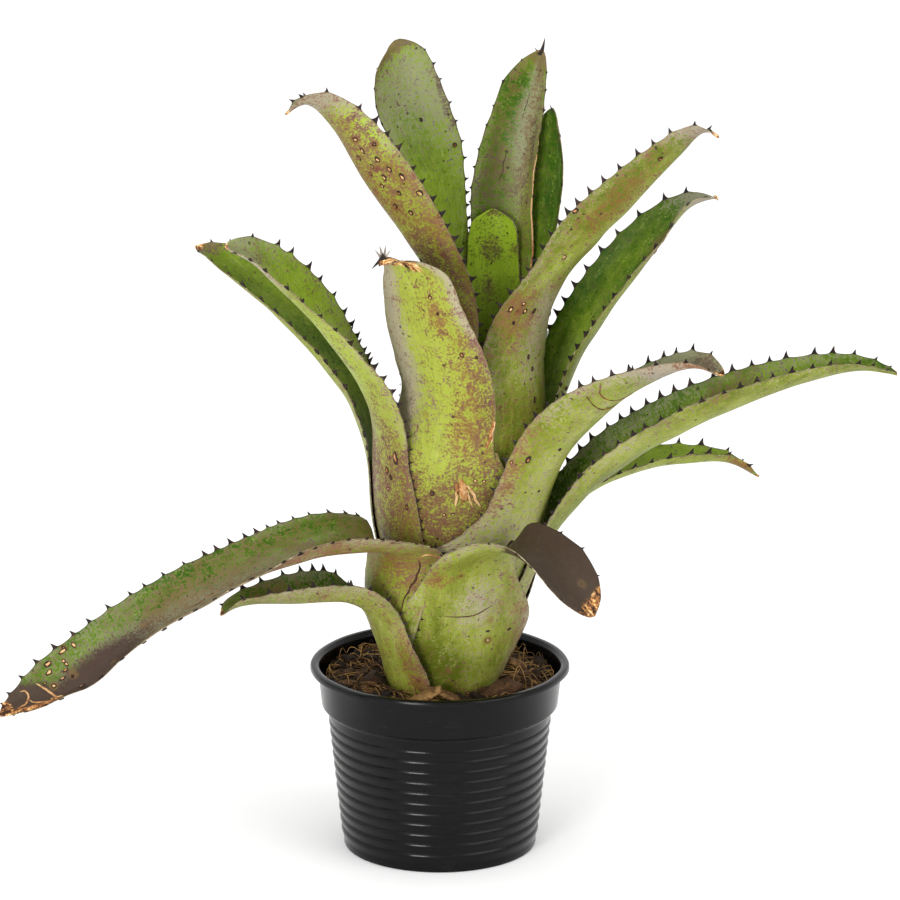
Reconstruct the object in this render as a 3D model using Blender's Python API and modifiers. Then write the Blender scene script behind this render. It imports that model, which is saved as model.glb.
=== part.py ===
"""A hohenbergia bromeliad in a black nursery pot.

Long strap leaves with spined margins clasp a short stem and nest inside one another as an
upright tank. The pot is a thin ribbed moulding, filled with coarse husk mix.
Metres, +Z up, origin at the centre of the pot's underside, front of the plant towards -Y.
"""
import math
from collections import namedtuple

import bmesh
import bpy
import numpy as np
from mathutils import Vector, noise
from mathutils.geometry import delaunay_2d_cdt

MM = 0.001
UP = Vector((0, 0, 1))
GAP = 0.4 * MM

# Pot, from the rim's diameter
RIM_DIAMETER = 150 * MM
POT_HEIGHT = 110 * MM
POT_SEGMENTS = 36
RIM_RADIUS = RIM_DIAMETER / 2
WALL = 1.3 * MM
LIP_HEIGHT = 4 * MM
LIP_EDGE = 0.8 * MM
LIP_UNDERCUT = 1 * MM
BAND_TOP_RADIUS = RIM_RADIUS - 4.5 * MM
BAND_FOOT_RADIUS = RIM_RADIUS - 6.5 * MM
BAND_FOOT_HEIGHT = POT_HEIGHT - 27 * MM
BAND_STEP = 3 * MM
BODY_TOP_RADIUS = RIM_RADIUS - 10 * MM
BODY_FOOT_RADIUS = RIM_RADIUS - 19 * MM
FOOT_CHAMFER = 1 * MM
FLOOR = 2 * MM
FLOOR_CORNER = 2 * MM
RIB_COUNT = 11
RIB_DEPTH = 0.7 * MM
RIB_VALLEY_SHARE = 0.35
RIBS_FROM = 5 * MM
RIBS_TO = BAND_FOOT_HEIGHT - 6 * MM
DRAIN_COUNT = 8
DRAIN_SIDES = 12
DRAIN_RADIUS = 4 * MM
DRAIN_RING_RADIUS = 0.78 * BODY_FOOT_RADIUS

# Husk mix in the pot, lumpy on top
MIX_TOP = POT_HEIGHT - 10 * MM
MIX_SEGMENTS = 24
MIX_RINGS = 3
MIX_EDGE_DROP = 5 * MM
MIX_LUMP = 3 * MM
MIX_LUMP_SIZE = 16 * MM
BOWL_SEGMENTS = 24
BOWL_RISE = 30 * MM
BOWL_ROW = 7 * MM

# The plant's axis: it leans to the right a little, and more where the tank narrows
AXIS_SLOPE = 0.04
AXIS_SHIFT = 16 * MM
AXIS_SHIFT_FROM = 190 * MM
AXIS_SHIFT_TO = 330 * MM

# Short stem that carries the leaves
STEM_FOOT = 56 * MM
STEM_TOP = 158 * MM
STEM_RADIUS = 13 * MM
STEM_TOP_RADIUS = 4 * MM
STEM_FOOT_TAPER = 3 * MM
STEM_SEGMENTS = 16

# Nesting of the sheaths: leaf 0 is the outermost and starts lowest
LEAF_THICKNESS = 1.0 * MM
SHEATH_PITCH = 2.05 * MM
SHEATH_CLEARANCE = 1.5 * GAP
OUTER_RADIUS = 50 * MM
BASE_START = 64 * MM
BASE_STEP = 4.5 * MM
BULB_HEIGHT = 95 * MM
BULB_POWER = 0.8
FIRST_LEAVES_AT = 115 * MM
LAST_LEAVES_AT = 335 * MM
NECK_START = 235 * MM
NECK_END = 315 * MM
NECK_NARROWING = 23 * MM
SHEATH_BLEND_BELOW = 62 * MM
SHEATH_BLEND_ABOVE = 15 * MM
WIDEST_CLASP = 80
SLIMMEST_CHANNEL = 8 * MM
TIP_ROUNDING = 0.62

# Shares of a free blade: where its channel has opened, its drift and sideways start have ended,
# and its hook begins
OPENING_SHARE = 0.34
TURN_SHARE = 0.5
SIDEWAYS_SHARE = 0.4
HOOK_SHARE = 0.84

# How finely a leaf is divided
CENTRELINE_STEP = 2 * MM
SHEATH_ROW = 18 * MM
BASE_ROW = 4.5 * MM
SHEATH_FACET = math.radians(15)
BLADE_ROW = 20 * MM
BLADE_COLUMNS = (-0.55, 0.0, 0.55)
TIP_ROW = 3.5 * MM

# Spined margin
SPINE_LENGTH = 4.2 * MM
SPINE_ROOT = 3.6 * MM
SPINE_SPACING = 16 * MM
SPINE_HOOK = 0.4
SPINES_BELOW = 25 * MM
SPINES_SHORT_OF_TIP = 9 * MM
SPINES_SHRINK = 0.45
SPINES_SHRINK_FROM = 0.75
SPINE_TIP_SHARE = 0.3
MARGIN_SHARE = 0.6

Leaf = namedtuple(
    "Leaf", "name azimuth leaves_at length lean hook turn roll half_width channel clasp tip"
)

# From the outermost leaf to the innermost. Azimuth is seen from above, 0 to the right and -90 to
# the front. leaves_at and length are in millimetres: where the blade leaves the tank, and how
# long it is from there. lean is the blade's angle from upright at each quarter of its length,
# hook the extra bend at its tip, turn how far its heading drifts and roll how far it tips over
# sideways. half_width is in millimetres, channel is the angle from the midrib to the margin,
# clasp the same at the sheath's base, and tip the power of its outline.
LEAVES = (
    Leaf("leaf_low_left_short", -142, 138, 109, (70, 86, 90, 94), 25, -16, 0, 22.5, 60, 40, 2.8),
    Leaf("leaf_low_left_long", -135, 166, 276, (97, 113, 120, 126), 0, -30, 30, 23.5, 42, 42, 4.0),
    Leaf("leaf_front_drooping", -78, 170, 102, (50, 100, 126, 140), 0, 60, -55, 27, 30, 78, 5.0),
    Leaf("leaf_back_low", 96, 160, 150, (45, 80, 105, 120), 0, 0, 0, 25, 45, 70, 3.2),
    Leaf("leaf_right_behind", 28, 156, 176, (52, 78, 92, 103), 15, -6, 0, 19.5, 55, 75, 2.6),
    Leaf("leaf_right_long", 2, 162, 258, (45, 63, 73, 87), 15, -2, 0, 29, 62, 75, 2.6),
    Leaf("leaf_right_middle", -30, 203, 180, (36, 49, 62, 76), 30, -8, 0, 27, 58, 85, 2.6),
    Leaf("leaf_back_right", 72, 205, 150, (35, 65, 90, 105), 0, 0, 0, 25, 50, 70, 3.0),
    Leaf("leaf_left_behind", 160, 215, 178, (30, 44, 56, 60), 0, 0, 15, 25, 55, 32, 3.4),
    Leaf("leaf_left_arching", -158, 236, 172, (27, 35, 43, 52), 15, 0, 35, 29, 55, 75, 3.0),
    Leaf("leaf_front_upright", -114, 250, 126, (13, 17, 19, 22), 110, -20, 0, 33, 52, 88, 4.5),
    Leaf("leaf_right_inner", 12, 243, 175, (26, 34, 42, 66), 15, 0, -20, 29, 58, 70, 2.4),
    Leaf("leaf_back_middle", 102, 240, 150, (35, 65, 88, 105), 0, 0, 0, 25, 50, 60, 3.2),
    Leaf("leaf_right_upper", -49, 294, 205, (35, 44, 44, 63), 50, 20, 0, 26.5, 55, 62, 2.4),
    Leaf("leaf_left_upper", -159, 300, 193, (21, 29, 37, 60), 65, 0, -20, 31, 48, 64, 2.4),
    Leaf("leaf_back_narrow", 47, 312, 121, (17, 13, 6, 2), 0, 0, 0, 19, 40, 60, 4.0),
    Leaf("leaf_back_pointed", 75, 318, 148, (6, 9, 12, 25), 0, -40, 0, 20.5, 40, 60, 3.2),
    Leaf("leaf_back_tall", 164, 322, 157, (6, 18, 20, 16), 0, 0, 46, 25, 35, 60, 7.0),
    Leaf("leaf_centre_young", 88, 335, 38, (2, 2, 4, 10), 0, 0, 0, 15.5, 35, 60, 7.0),
)
LAST = len(LEAVES) - 1
OLD_LEAF = (0.14, 0.17, 0.06)
YOUNG_LEAF = (0.20, 0.32, 0.03)


def clamp(value, low=0.0, high=1.0):
    return max(low, min(high, value))


def smoothstep(value):
    value = clamp(value)
    return value * value * (3 - 2 * value)


def mix(first, second, share):
    return first + (second - first) * share


def clear_scene():
    for obj in list(bpy.data.objects):
        bpy.data.objects.remove(obj, do_unlink=True)


def new_collection(name, hidden=False):
    collection = bpy.data.collections.new(name)
    bpy.context.scene.collection.children.link(collection)
    collection.hide_render = hidden
    return collection


def new_material(name, colour, roughness, metallic=0.0):
    material = bpy.data.materials.new(name)
    material.use_nodes = True
    shader = material.node_tree.nodes["Principled BSDF"]
    shader.inputs["Base Color"].default_value = (*colour, 1.0)
    shader.inputs["Roughness"].default_value = roughness
    shader.inputs["Metallic"].default_value = metallic
    return material


def new_object(name, data, collection, material):
    obj = bpy.data.objects.new(name, data)
    collection.objects.link(obj)
    obj.data.materials.append(material)
    return obj


def turned(name, profile, collection, material, segments):
    """A profile of (radius, height) points, turned about Z as a solid of revolution."""
    mesh = bpy.data.meshes.new(name)
    points = [(radius, 0.0, height) for radius, height in profile]
    mesh.from_pydata(points, [(i, i + 1) for i in range(len(points) - 1)], [])
    obj = new_object(name, mesh, collection, material)
    screw = obj.modifiers.new("turn", "SCREW")
    screw.steps = segments
    screw.render_steps = segments
    screw.use_merge_vertices = True
    screw.merge_threshold = 0.01 * MM
    screw.use_normal_calculate = True
    return obj


def reshape(obj, move):
    """Applies an object's modifiers and moves every vertex by a function of its place."""
    graph = bpy.context.evaluated_depsgraph_get()
    mesh = bpy.data.meshes.new_from_object(obj.evaluated_get(graph))
    obj.modifiers.clear()
    obj.data = mesh
    for vertex in mesh.vertices:
        vertex.co = move(vertex.co)


def cut(obj, cutter):
    boolean = obj.modifiers.new("cut " + cutter.name, "BOOLEAN")
    boolean.operation = "DIFFERENCE"
    boolean.object = cutter
    cutter.hide_render = True
    cutter.display_type = "WIRE"


def body_radius(height):
    """The pot's wall below its band, at the middle of the ribs' depth."""
    return mix(BODY_FOOT_RADIUS, BODY_TOP_RADIUS, height / BAND_FOOT_HEIGHT)


def pot_outside():
    """The pot's outer profile from the lip down to the foot."""
    outline = [
        (RIM_RADIUS - LIP_EDGE, POT_HEIGHT),
        (RIM_RADIUS, POT_HEIGHT - LIP_EDGE),
        (RIM_RADIUS, POT_HEIGHT - LIP_HEIGHT + LIP_EDGE),
        (RIM_RADIUS - LIP_UNDERCUT, POT_HEIGHT - LIP_HEIGHT),
        (BAND_TOP_RADIUS, POT_HEIGHT - LIP_HEIGHT),
        (BAND_FOOT_RADIUS, BAND_FOOT_HEIGHT + BAND_STEP),
        (BODY_TOP_RADIUS, BAND_FOOT_HEIGHT),
    ]
    pitch = (RIBS_TO - RIBS_FROM) / RIB_COUNT
    for rib in range(RIB_COUNT):
        height = RIBS_TO - rib * pitch
        outline.append((body_radius(height) + RIB_DEPTH / 2, height))
        outline.append((body_radius(height) - RIB_DEPTH / 2, height - RIB_VALLEY_SHARE * pitch))
    outline.append((BODY_FOOT_RADIUS, RIBS_FROM - FOOT_CHAMFER))
    outline.append((BODY_FOOT_RADIUS, FOOT_CHAMFER))
    outline.append((BODY_FOOT_RADIUS - FOOT_CHAMFER, 0.0))
    return outline


def inner_radius(height):
    """The pot's inner radius below its band, clear of the ribs' valleys."""
    return body_radius(height) - RIB_DEPTH / 2 - WALL


def pot_inside():
    """The pot's inner profile from the floor up to the lip."""
    return [
        (0.0, FLOOR),
        (inner_radius(FLOOR) - FLOOR_CORNER, FLOOR),
        (inner_radius(FLOOR + FLOOR_CORNER), FLOOR + FLOOR_CORNER),
        (inner_radius(BAND_FOOT_HEIGHT), BAND_FOOT_HEIGHT),
        (BAND_FOOT_RADIUS - WALL, BAND_FOOT_HEIGHT + BAND_STEP),
        (BAND_TOP_RADIUS - WALL, POT_HEIGHT - LIP_HEIGHT),
        (BAND_TOP_RADIUS - WALL + LIP_EDGE, POT_HEIGHT),
    ]


def make_pot(collection, cutters, material):
    profile = pot_outside() + [(0.0, 0.0)] + pot_inside() + [pot_outside()[0]]
    pot = turned("pot", profile, collection, material, POT_SEGMENTS)
    for hole in range(DRAIN_COUNT):
        angle = 2 * math.pi * (hole + 0.5) / DRAIN_COUNT
        place = (DRAIN_RING_RADIUS * math.cos(angle), DRAIN_RING_RADIUS * math.sin(angle), 0.0)
        bpy.ops.mesh.primitive_cylinder_add(
            vertices=DRAIN_SIDES, radius=DRAIN_RADIUS, depth=6 * FLOOR, location=place
        )
        cutter = bpy.context.object
        cutter.name = f"drain_cutter_{hole}"
        for owner in cutter.users_collection:
            owner.objects.unlink(cutter)
        cutters.objects.link(cutter)
        cut(pot, cutter)
    return pot


def axis_x(height):
    """How far right of the pot's centre the plant's axis stands at a height."""
    shift = smoothstep((height - AXIS_SHIFT_FROM) / (AXIS_SHIFT_TO - AXIS_SHIFT_FROM))
    return AXIS_SLOPE * height + AXIS_SHIFT * shift


def onto_axis(place):
    return Vector((place.x + axis_x(place.z), place.y, place.z))


def base_height(order):
    """The height at which a leaf's sheath starts on the stem."""
    return BASE_START + BASE_STEP * order


def stem_radius(order):
    """The stem's radius where a leaf grows from it."""
    return mix(STEM_RADIUS, STEM_TOP_RADIUS, order / LAST)


def sheath_radius(order, height):
    """How far a leaf's sheath stands from the plant's axis. Sheaths nest, one pitch apart."""
    share = clamp((height - base_height(order)) / BULB_HEIGHT)
    rise = math.sin(math.pi / 2 * share) ** BULB_POWER
    start = stem_radius(order) + LEAF_THICKNESS / 2 + SHEATH_CLEARANCE
    freed = LAST * clamp((height - FIRST_LEAVES_AT) / (LAST_LEAVES_AT - FIRST_LEAVES_AT))
    neck = smoothstep((height - NECK_START) / (NECK_END - NECK_START))
    full = OUTER_RADIUS - SHEATH_PITCH * (order - freed) - NECK_NARROWING * neck
    return mix(start, full, rise)


def make_stem(collection, material):
    profile = [
        (0.0, STEM_TOP),
        (STEM_TOP_RADIUS * 0.6, STEM_TOP - 1 * MM),
        (STEM_TOP_RADIUS, base_height(LAST)),
        (STEM_RADIUS, base_height(0)),
        (STEM_RADIUS - STEM_FOOT_TAPER, STEM_FOOT),
        (0.0, STEM_FOOT),
    ]
    stem = turned("short_stem", profile, collection, material, STEM_SEGMENTS)
    reshape(stem, onto_axis)
    return stem


def make_mix(collection, cutters, material):
    """The husk mix: a plug that fills the pot, lumpy on top, with a bowl for the plant's foot."""
    rim = BAND_FOOT_RADIUS - WALL - GAP
    wall_top = MIX_TOP - MIX_EDGE_DROP
    profile = [(rim * i / MIX_RINGS, MIX_TOP) for i in range(MIX_RINGS)]
    profile += [
        (rim - 0.4 * MIX_EDGE_DROP, MIX_TOP - 0.4 * MIX_EDGE_DROP),
        (rim, wall_top),
        (rim, BAND_FOOT_HEIGHT + BAND_STEP),
        (inner_radius(BAND_FOOT_HEIGHT) - GAP, BAND_FOOT_HEIGHT),
        (inner_radius(FLOOR + FLOOR_CORNER) - GAP, FLOOR + FLOOR_CORNER + GAP),
        (inner_radius(FLOOR) - FLOOR_CORNER - GAP, FLOOR + GAP),
        (0.0, FLOOR + GAP),
    ]
    plug = turned("husk_mix", profile, collection, material, MIX_SEGMENTS)

    def lump(place):
        if place.z < wall_top or math.hypot(place.x, place.y) > rim - GAP:
            return place
        return place + Vector((0, 0, MIX_LUMP * noise.noise(place / MIX_LUMP_SIZE)))

    reshape(plug, lump)
    clear = LEAF_THICKNESS / 2 + SHEATH_CLEARANCE
    top = MIX_TOP + BOWL_RISE
    rows = math.floor((MIX_TOP - base_height(0)) / BOWL_ROW)
    heights = [top - BOWL_ROW] + [MIX_TOP - BOWL_ROW * row for row in range(-1, rows)]
    bowl = [(0.0, top), (sheath_radius(0, heights[0]), top)]
    bowl += [(sheath_radius(0, height) + clear, height) for height in heights]
    bowl += [
        (STEM_RADIUS + clear + 2 * GAP, base_height(0) - 2 * GAP),
        (STEM_RADIUS, STEM_FOOT - GAP),
        (0.0, STEM_FOOT - GAP),
    ]
    cutter = turned("bowl_cutter", bowl, cutters, material, BOWL_SEGMENTS)
    reshape(cutter, onto_axis)
    cut(plug, cutter)
    return plug


def eased(knots, share):
    """A smooth curve through evenly spaced knots, read at a share of its length."""
    place = clamp(share) * (len(knots) - 1)
    i = min(int(place), len(knots) - 2)
    t = place - i
    p0, p1, p2, p3 = (knots[clamp(i + k, 0, len(knots) - 1)] for k in (-1, 0, 1, 2))
    return 0.5 * (
        2 * p1 + (p2 - p0) * t + (2 * p0 - 5 * p1 + 4 * p2 - p3) * t**2
        + (3 * p1 - p0 - 3 * p2 + p3) * t**3
    )


def outward(heading):
    return Vector((math.cos(heading), math.sin(heading), 0.0))


class Blade:
    """A leaf's middle surface: a centreline with channelled sections across it.

    Each point of the centreline carries two directions: across the leaf, and inward, which is
    towards its upper face.
    """

    def __init__(self, leaf, order):
        self.leaf = leaf
        self.order = order
        self.points = []
        self.runs = [0.0]
        self.across = []
        self.inward = []
        self.follow_sheath()
        self.follow_blade()
        self.total = self.runs[-1]

    def follow_sheath(self):
        """The part that lies in the tank: up along the nested sheaths."""
        start, end = base_height(self.order), self.leaf.leaves_at * MM
        steps = round((end - start) / CENTRELINE_STEP)
        out = outward(math.radians(self.leaf.azimuth))
        for i in range(steps + 1):
            height = mix(start, end, i / steps)
            radius = sheath_radius(self.order, height)
            point = onto_axis(out * radius + UP * height)
            if self.points:
                self.runs.append(self.runs[-1] + (point - self.points[-1]).length)
            self.points.append(point)
            self.across.append(UP.cross(out))
            self.inward.append(-out)
        self.sheath_length = self.runs[-1]
        self.sheath_points = len(self.points)
        self.ring = radius

    def follow_blade(self):
        """The free part, stepped along by its lean and its heading, without twisting."""
        leaf = self.leaf
        length = leaf.length * MM
        steps = round(length / CENTRELINE_STEP)
        last_step = (self.points[-1] - self.points[-2]).normalized()
        out = outward(math.radians(leaf.azimuth))
        start_lean = math.degrees(math.atan2(last_step.dot(out), last_step.z))
        sideways = self.across[-1] * last_step.dot(self.across[-1])
        across = self.across[-1]
        for i in range(1, steps + 1):
            share = (i - 0.5) / steps
            lean = eased((start_lean,) + leaf.lean, share)
            lean = math.radians(lean + leaf.hook * smoothstep((share - HOOK_SHARE) / (1 - HOOK_SHARE)))
            heading = math.radians(leaf.azimuth + leaf.turn * smoothstep(share / TURN_SHARE))
            step = outward(heading) * math.sin(lean) + UP * math.cos(lean)
            step = (step + sideways * (1 - smoothstep(share / SIDEWAYS_SHARE))).normalized()
            self.points.append(self.points[-1] + step * (length / steps))
            self.runs.append(self.runs[-1] + length / steps)
            across = (across - step * step.dot(across)).normalized()
            normal = step.cross(across)
            inward = -out * (1 - smoothstep(share / OPENING_SHARE))
            inward += normal * smoothstep(share / OPENING_SHARE)
            inward = (inward - across * inward.dot(across)).normalized()
            roll = math.radians(leaf.roll) * smoothstep(share)
            self.inward.append(inward * math.cos(roll) + across * math.sin(roll))
            self.across.append(across * math.cos(roll) - inward * math.sin(roll))

    def at(self, run, values):
        """A value of the centreline at a distance from the leaf's base."""
        return float(np.interp(run, self.runs, values))

    def vector_at(self, run, vectors):
        return Vector([self.at(run, [vector[i] for vector in vectors]) for i in range(3)])

    def centre(self, run):
        return self.vector_at(run, self.points)

    def share(self, run):
        """Where a distance lies on the free blade: below 0 in the sheath, 1 at the tip."""
        return (run - self.sheath_length) / (self.total - self.sheath_length)

    def ring_radius(self, run):
        if run >= self.sheath_length:
            return self.ring
        return sheath_radius(self.order, self.centre(run).z)

    def half_width(self, run):
        share = self.share(run)
        blade = self.leaf.half_width * MM
        sheath = math.radians(self.leaf.clasp) * self.ring_radius(run)
        from_run = self.sheath_length - SHEATH_BLEND_BELOW
        to_run = self.sheath_length + SHEATH_BLEND_ABOVE
        width = mix(sheath, blade, smoothstep((run - from_run) / (to_run - from_run)))
        width = min(width, math.radians(max(self.leaf.clasp, WIDEST_CLASP)) * self.ring_radius(run))
        if share > 0:
            width *= max(0.0, 1 - share**self.leaf.tip) ** TIP_ROUNDING
        return width

    def place(self, run, side):
        """The point at a distance along the leaf and a width across it."""
        across = self.vector_at(run, self.across).normalized()
        inward = self.vector_at(run, self.inward).normalized()
        along = across.cross(inward)
        if side < 0:
            across = -across
        half = self.half_width(run)
        channelled = max(half, SLIMMEST_CHANNEL) / math.radians(self.leaf.channel)
        opening = smoothstep(self.share(run) / OPENING_SHARE)
        curl = mix(self.ring_radius(run), channelled, opening)
        angle = min(abs(side), half) / curl
        beyond = max(0.0, abs(side) - half)
        point = self.centre(run)
        point += inward * curl * (1 - math.cos(angle)) + across * curl * math.sin(angle)
        point += (inward * math.sin(angle) + across * math.cos(angle)) * beyond
        return point + along * (beyond * SPINE_HOOK)

    def run_at(self, height):
        """The distance along the sheath at which its centreline reaches a height."""
        heights = [point.z for point in self.points[: self.sheath_points]]
        return float(np.interp(height, heights, self.runs[: self.sheath_points]))


def sheath_rows(blade):
    """Distances of the rows in the sheath. They share their heights with the leaves around."""
    start, end = base_height(blade.order), blade.leaf.leaves_at * MM
    first = math.floor(start / SHEATH_ROW) + 1
    last = math.ceil(end / SHEATH_ROW) - 1
    heights = [SHEATH_ROW * i for i in range(first, last + 1)]
    heights = [height for height in heights if start + 1.5 * BASE_ROW < height < end - BASE_ROW]
    runs = [blade.run_at(height) for height in [start + BASE_ROW] + heights]
    return [0.0] + runs + [blade.sheath_length]


def blade_rows(blade):
    """Distances of the rows in the free blade."""
    length = blade.total - blade.sheath_length
    count = max(3, round(length / BLADE_ROW))
    return [blade.sheath_length + length * i / count for i in range(1, count)]


def margin(blade, side):
    """One margin from base to tip as (run, width) points, each spine a root, a point, a root."""
    first = blade.sheath_length - SPINES_BELOW
    last = blade.total - SPINES_SHORT_OF_TIP
    count = round((last - first) / SPINE_SPACING)
    runs = [run for run in sheath_rows(blade) if run < first - SPINE_ROOT]
    points = [(run, side * blade.half_width(run)) for run in runs]
    for i in range(count + 1):
        run = mix(first, last, i / count)
        tipward = clamp((blade.share(run) - SPINES_SHRINK_FROM) / (1 - SPINES_SHRINK_FROM))
        size = 1 - SPINES_SHRINK * tipward
        root = SPINE_ROOT * size / 2
        reach = blade.half_width(run) + SPINE_LENGTH * size
        points.append((run - root, side * blade.half_width(run - root)))
        points.append((run, side * reach))
        points.append((run + root, side * blade.half_width(run + root)))
    run = blade.total - TIP_ROW
    points.append((run, side * blade.half_width(run)))
    return points


def inner_points(blade):
    """Points inside the outline, closer together across the sheath, where it curves most."""
    points = []
    for run in sheath_rows(blade):
        half = blade.half_width(run)
        count = math.ceil(2 * half / blade.ring_radius(run) / SHEATH_FACET)
        points += [(run, half * (2 * i / count - 1)) for i in range(1, count)]
    for run in blade_rows(blade):
        half = blade.half_width(run)
        points += [(run, half * across) for across in BLADE_COLUMNS]
    return points


def margin_thickness(blade, run, side):
    """The leaf's share of its full thickness: it thins towards its margins and its tip."""
    half = blade.half_width(run)
    if abs(side) > half + 0.1 * MM:
        return SPINE_TIP_SHARE
    share = mix(1.0, MARGIN_SHARE, (abs(side) / max(half, 1 * MM)) ** 2)
    return mix(share, MARGIN_SHARE, 0.5 * smoothstep(blade.share(run)))


def make_leaf(leaf, order, collection, material):
    """One leaf: its outline filled with triangles, laid on the curved blade, then thickened."""
    blade = Blade(leaf, order)
    inner = inner_points(blade)
    base = [point for point in inner if point[0] == 0.0]
    inside = [point for point in inner if point[0] > 0.0]
    tip = [(blade.total, 0.0)]
    outline = margin(blade, 1) + tip + margin(blade, -1)[::-1] + base
    edges = [(i, (i + 1) % len(outline)) for i in range(len(outline))]
    flat = [Vector(point) for point in outline + inside]
    points, _, faces, _, _, _ = delaunay_2d_cdt(flat, edges, [], 1, 1e-7)
    mesh = bpy.data.meshes.new(leaf.name)
    mesh.from_pydata([blade.place(run, side) for run, side in points], [], faces)
    shell = bmesh.new()
    shell.from_mesh(mesh)
    bmesh.ops.recalc_face_normals(shell, faces=shell.faces)
    shell.to_mesh(mesh)
    shell.free()
    mesh.shade_smooth()
    obj = new_object(leaf.name, mesh, collection, material)
    thick = obj.vertex_groups.new(name="thickness")
    for i, (run, side) in enumerate(points):
        thick.add([i], margin_thickness(blade, run, side), "REPLACE")
    solidify = obj.modifiers.new("thickness", "SOLIDIFY")
    solidify.thickness = LEAF_THICKNESS
    solidify.offset = 0.0
    solidify.vertex_group = thick.name
    return obj


def build():
    clear_scene()
    parts = new_collection("potted_hohenbergia")
    cutters = new_collection("cutters", hidden=True)
    plastic = new_material("black_polypropylene", (0.012, 0.013, 0.014), 0.38)
    husk = new_material("coir_husk", (0.16, 0.07, 0.03), 0.95)
    pale = new_material("stem_tissue", (0.42, 0.40, 0.22), 0.7)
    make_pot(parts, cutters, plastic)
    make_mix(parts, cutters, husk)
    make_stem(parts, pale)
    for order, leaf in enumerate(LEAVES):
        colour = [mix(old, young, order / LAST) for old, young in zip(OLD_LEAF, YOUNG_LEAF)]
        make_leaf(leaf, order, parts, new_material(leaf.name + "_skin", colour, 0.45))
    bpy.context.view_layer.update()


build()
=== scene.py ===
"""Looks of a potted hohenbergia bromeliad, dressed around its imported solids.

Strap leaves with spined margins nest as an upright tank in a ribbed black nursery pot.
Metres, +Z up, origin at the centre of the pot's underside, front of the plant towards -Y.
"""

import math
from collections import namedtuple

import bpy
import numpy as np
from bpy.props import FloatProperty, FloatVectorProperty, IntProperty, PointerProperty
from bpy.types import Operator, Panel, PropertyGroup
from mathutils import Matrix, Vector, noise


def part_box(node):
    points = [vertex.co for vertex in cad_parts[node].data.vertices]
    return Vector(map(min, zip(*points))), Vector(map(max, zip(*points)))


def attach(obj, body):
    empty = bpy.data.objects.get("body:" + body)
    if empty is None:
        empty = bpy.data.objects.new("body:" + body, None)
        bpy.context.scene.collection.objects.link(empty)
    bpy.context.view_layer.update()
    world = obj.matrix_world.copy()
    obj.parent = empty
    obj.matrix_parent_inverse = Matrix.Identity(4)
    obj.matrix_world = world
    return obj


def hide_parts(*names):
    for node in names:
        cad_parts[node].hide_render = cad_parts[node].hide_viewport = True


bl_info = {
    "name": "Potted hohenbergia",
    "version": (1, 0, 0),
    "blender": (4, 5, 0),
    "location": "3D View > Sidebar > Bromeliad",
    "description": "Models a hohenbergia bromeliad in its nursery pot",
    "category": "Add Mesh",
}

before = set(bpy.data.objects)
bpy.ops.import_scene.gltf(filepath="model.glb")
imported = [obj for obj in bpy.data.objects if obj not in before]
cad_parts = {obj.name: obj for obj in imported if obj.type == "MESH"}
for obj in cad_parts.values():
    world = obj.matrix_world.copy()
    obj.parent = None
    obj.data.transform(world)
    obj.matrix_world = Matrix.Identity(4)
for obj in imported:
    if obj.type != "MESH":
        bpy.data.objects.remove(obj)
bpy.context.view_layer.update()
POT_LOW, POT_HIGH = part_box("pot")

MM = 0.001
GAP = 0.4 * MM
UP = np.array((0.0, 0.0, 1.0))

# Pot, as its solid has it
WALL = 1.3 * MM
BAND_INSET = 6.5 * MM
FOOT_INSET = 19 * MM
BODY_TOP_INSET = 10 * MM
BAND_FOOT_DROP = 27 * MM
BAND_STEP = 3 * MM
FOOT_CHAMFER = 1 * MM
FLOOR = 2 * MM
FLOOR_CORNER = 2 * MM
RIBS_FROM = 5 * MM
RIBS_SHORT_OF_BAND = 6 * MM
POT_SEGMENTS = 128
DRAIN_COUNT = 8
DRAIN_RADIUS = 4 * MM
DRAIN_RING = 0.78

# Points of the pot's outline. A rib's are shares of its pitch and of its depth. The others are in
# millimetres, inwards from the lip's edge and up: round the step and down inside it, from the
# band's foot, and round the lip, from its top.
RIB_POINTS = (
    (0.0, -0.5), (0.12, -0.36), (0.34, 0.0), (0.5, 0.28), (0.62, 0.46), (0.7, 0.5), (0.78, 0.4),
    (0.88, 0.12), (0.95, -0.2),
)
STEP_POINTS = ((10.2, -1.5), (9.8, 0.0), (9.2, 0.7), (7.2, 1.9), (6.6, 2.5), (6.4, 3.4))
LIP_POINTS = (
    (4.6, -4.8), (4.3, -4.1), (3.6, -3.9), (1.0, -4.0), (0.3, -3.65), (0.0, -3.0), (0.1, -1.3),
    (0.5, -0.5), (1.3, -0.05), (2.6, 0.0), (4.0, -0.2), (5.0, -0.9), (5.6, -2.2), (5.8, -4.0),
)
INNER_STEP_POINTS = ((6.5, 3.5), (7.2, 2.4), (9.6, 0.4), (10.6, -1.0))

# The lip is a little uneven, outwards and up, from some way below its top
LIP_WAVE = 0.6 * MM
LIP_RISE = 0.35 * MM
LIP_WAVES_FROM = 9 * MM
LIP_WAVES_OVER = 5 * MM

# Husk mix: its top lies between the plant and the wall, with a bowl round the plant's foot, whose
# heights are in millimetres
MIX_TOP = 100 * MM
MIX_EDGE_DROP = 5 * MM
BED_INNER = 40 * MM
BED_OUTER = 66 * MM
BOWL_RADIUS = 38 * MM
BOWL_REACH = 20 * MM
BOWL_CLEARANCE = 1.6 * MM
BOWL_HEIGHTS = (98, 94, 88, 80, 72, 66)
SHIFTED_ABOVE = 60 * MM
BED_SEGMENTS = 96

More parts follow.
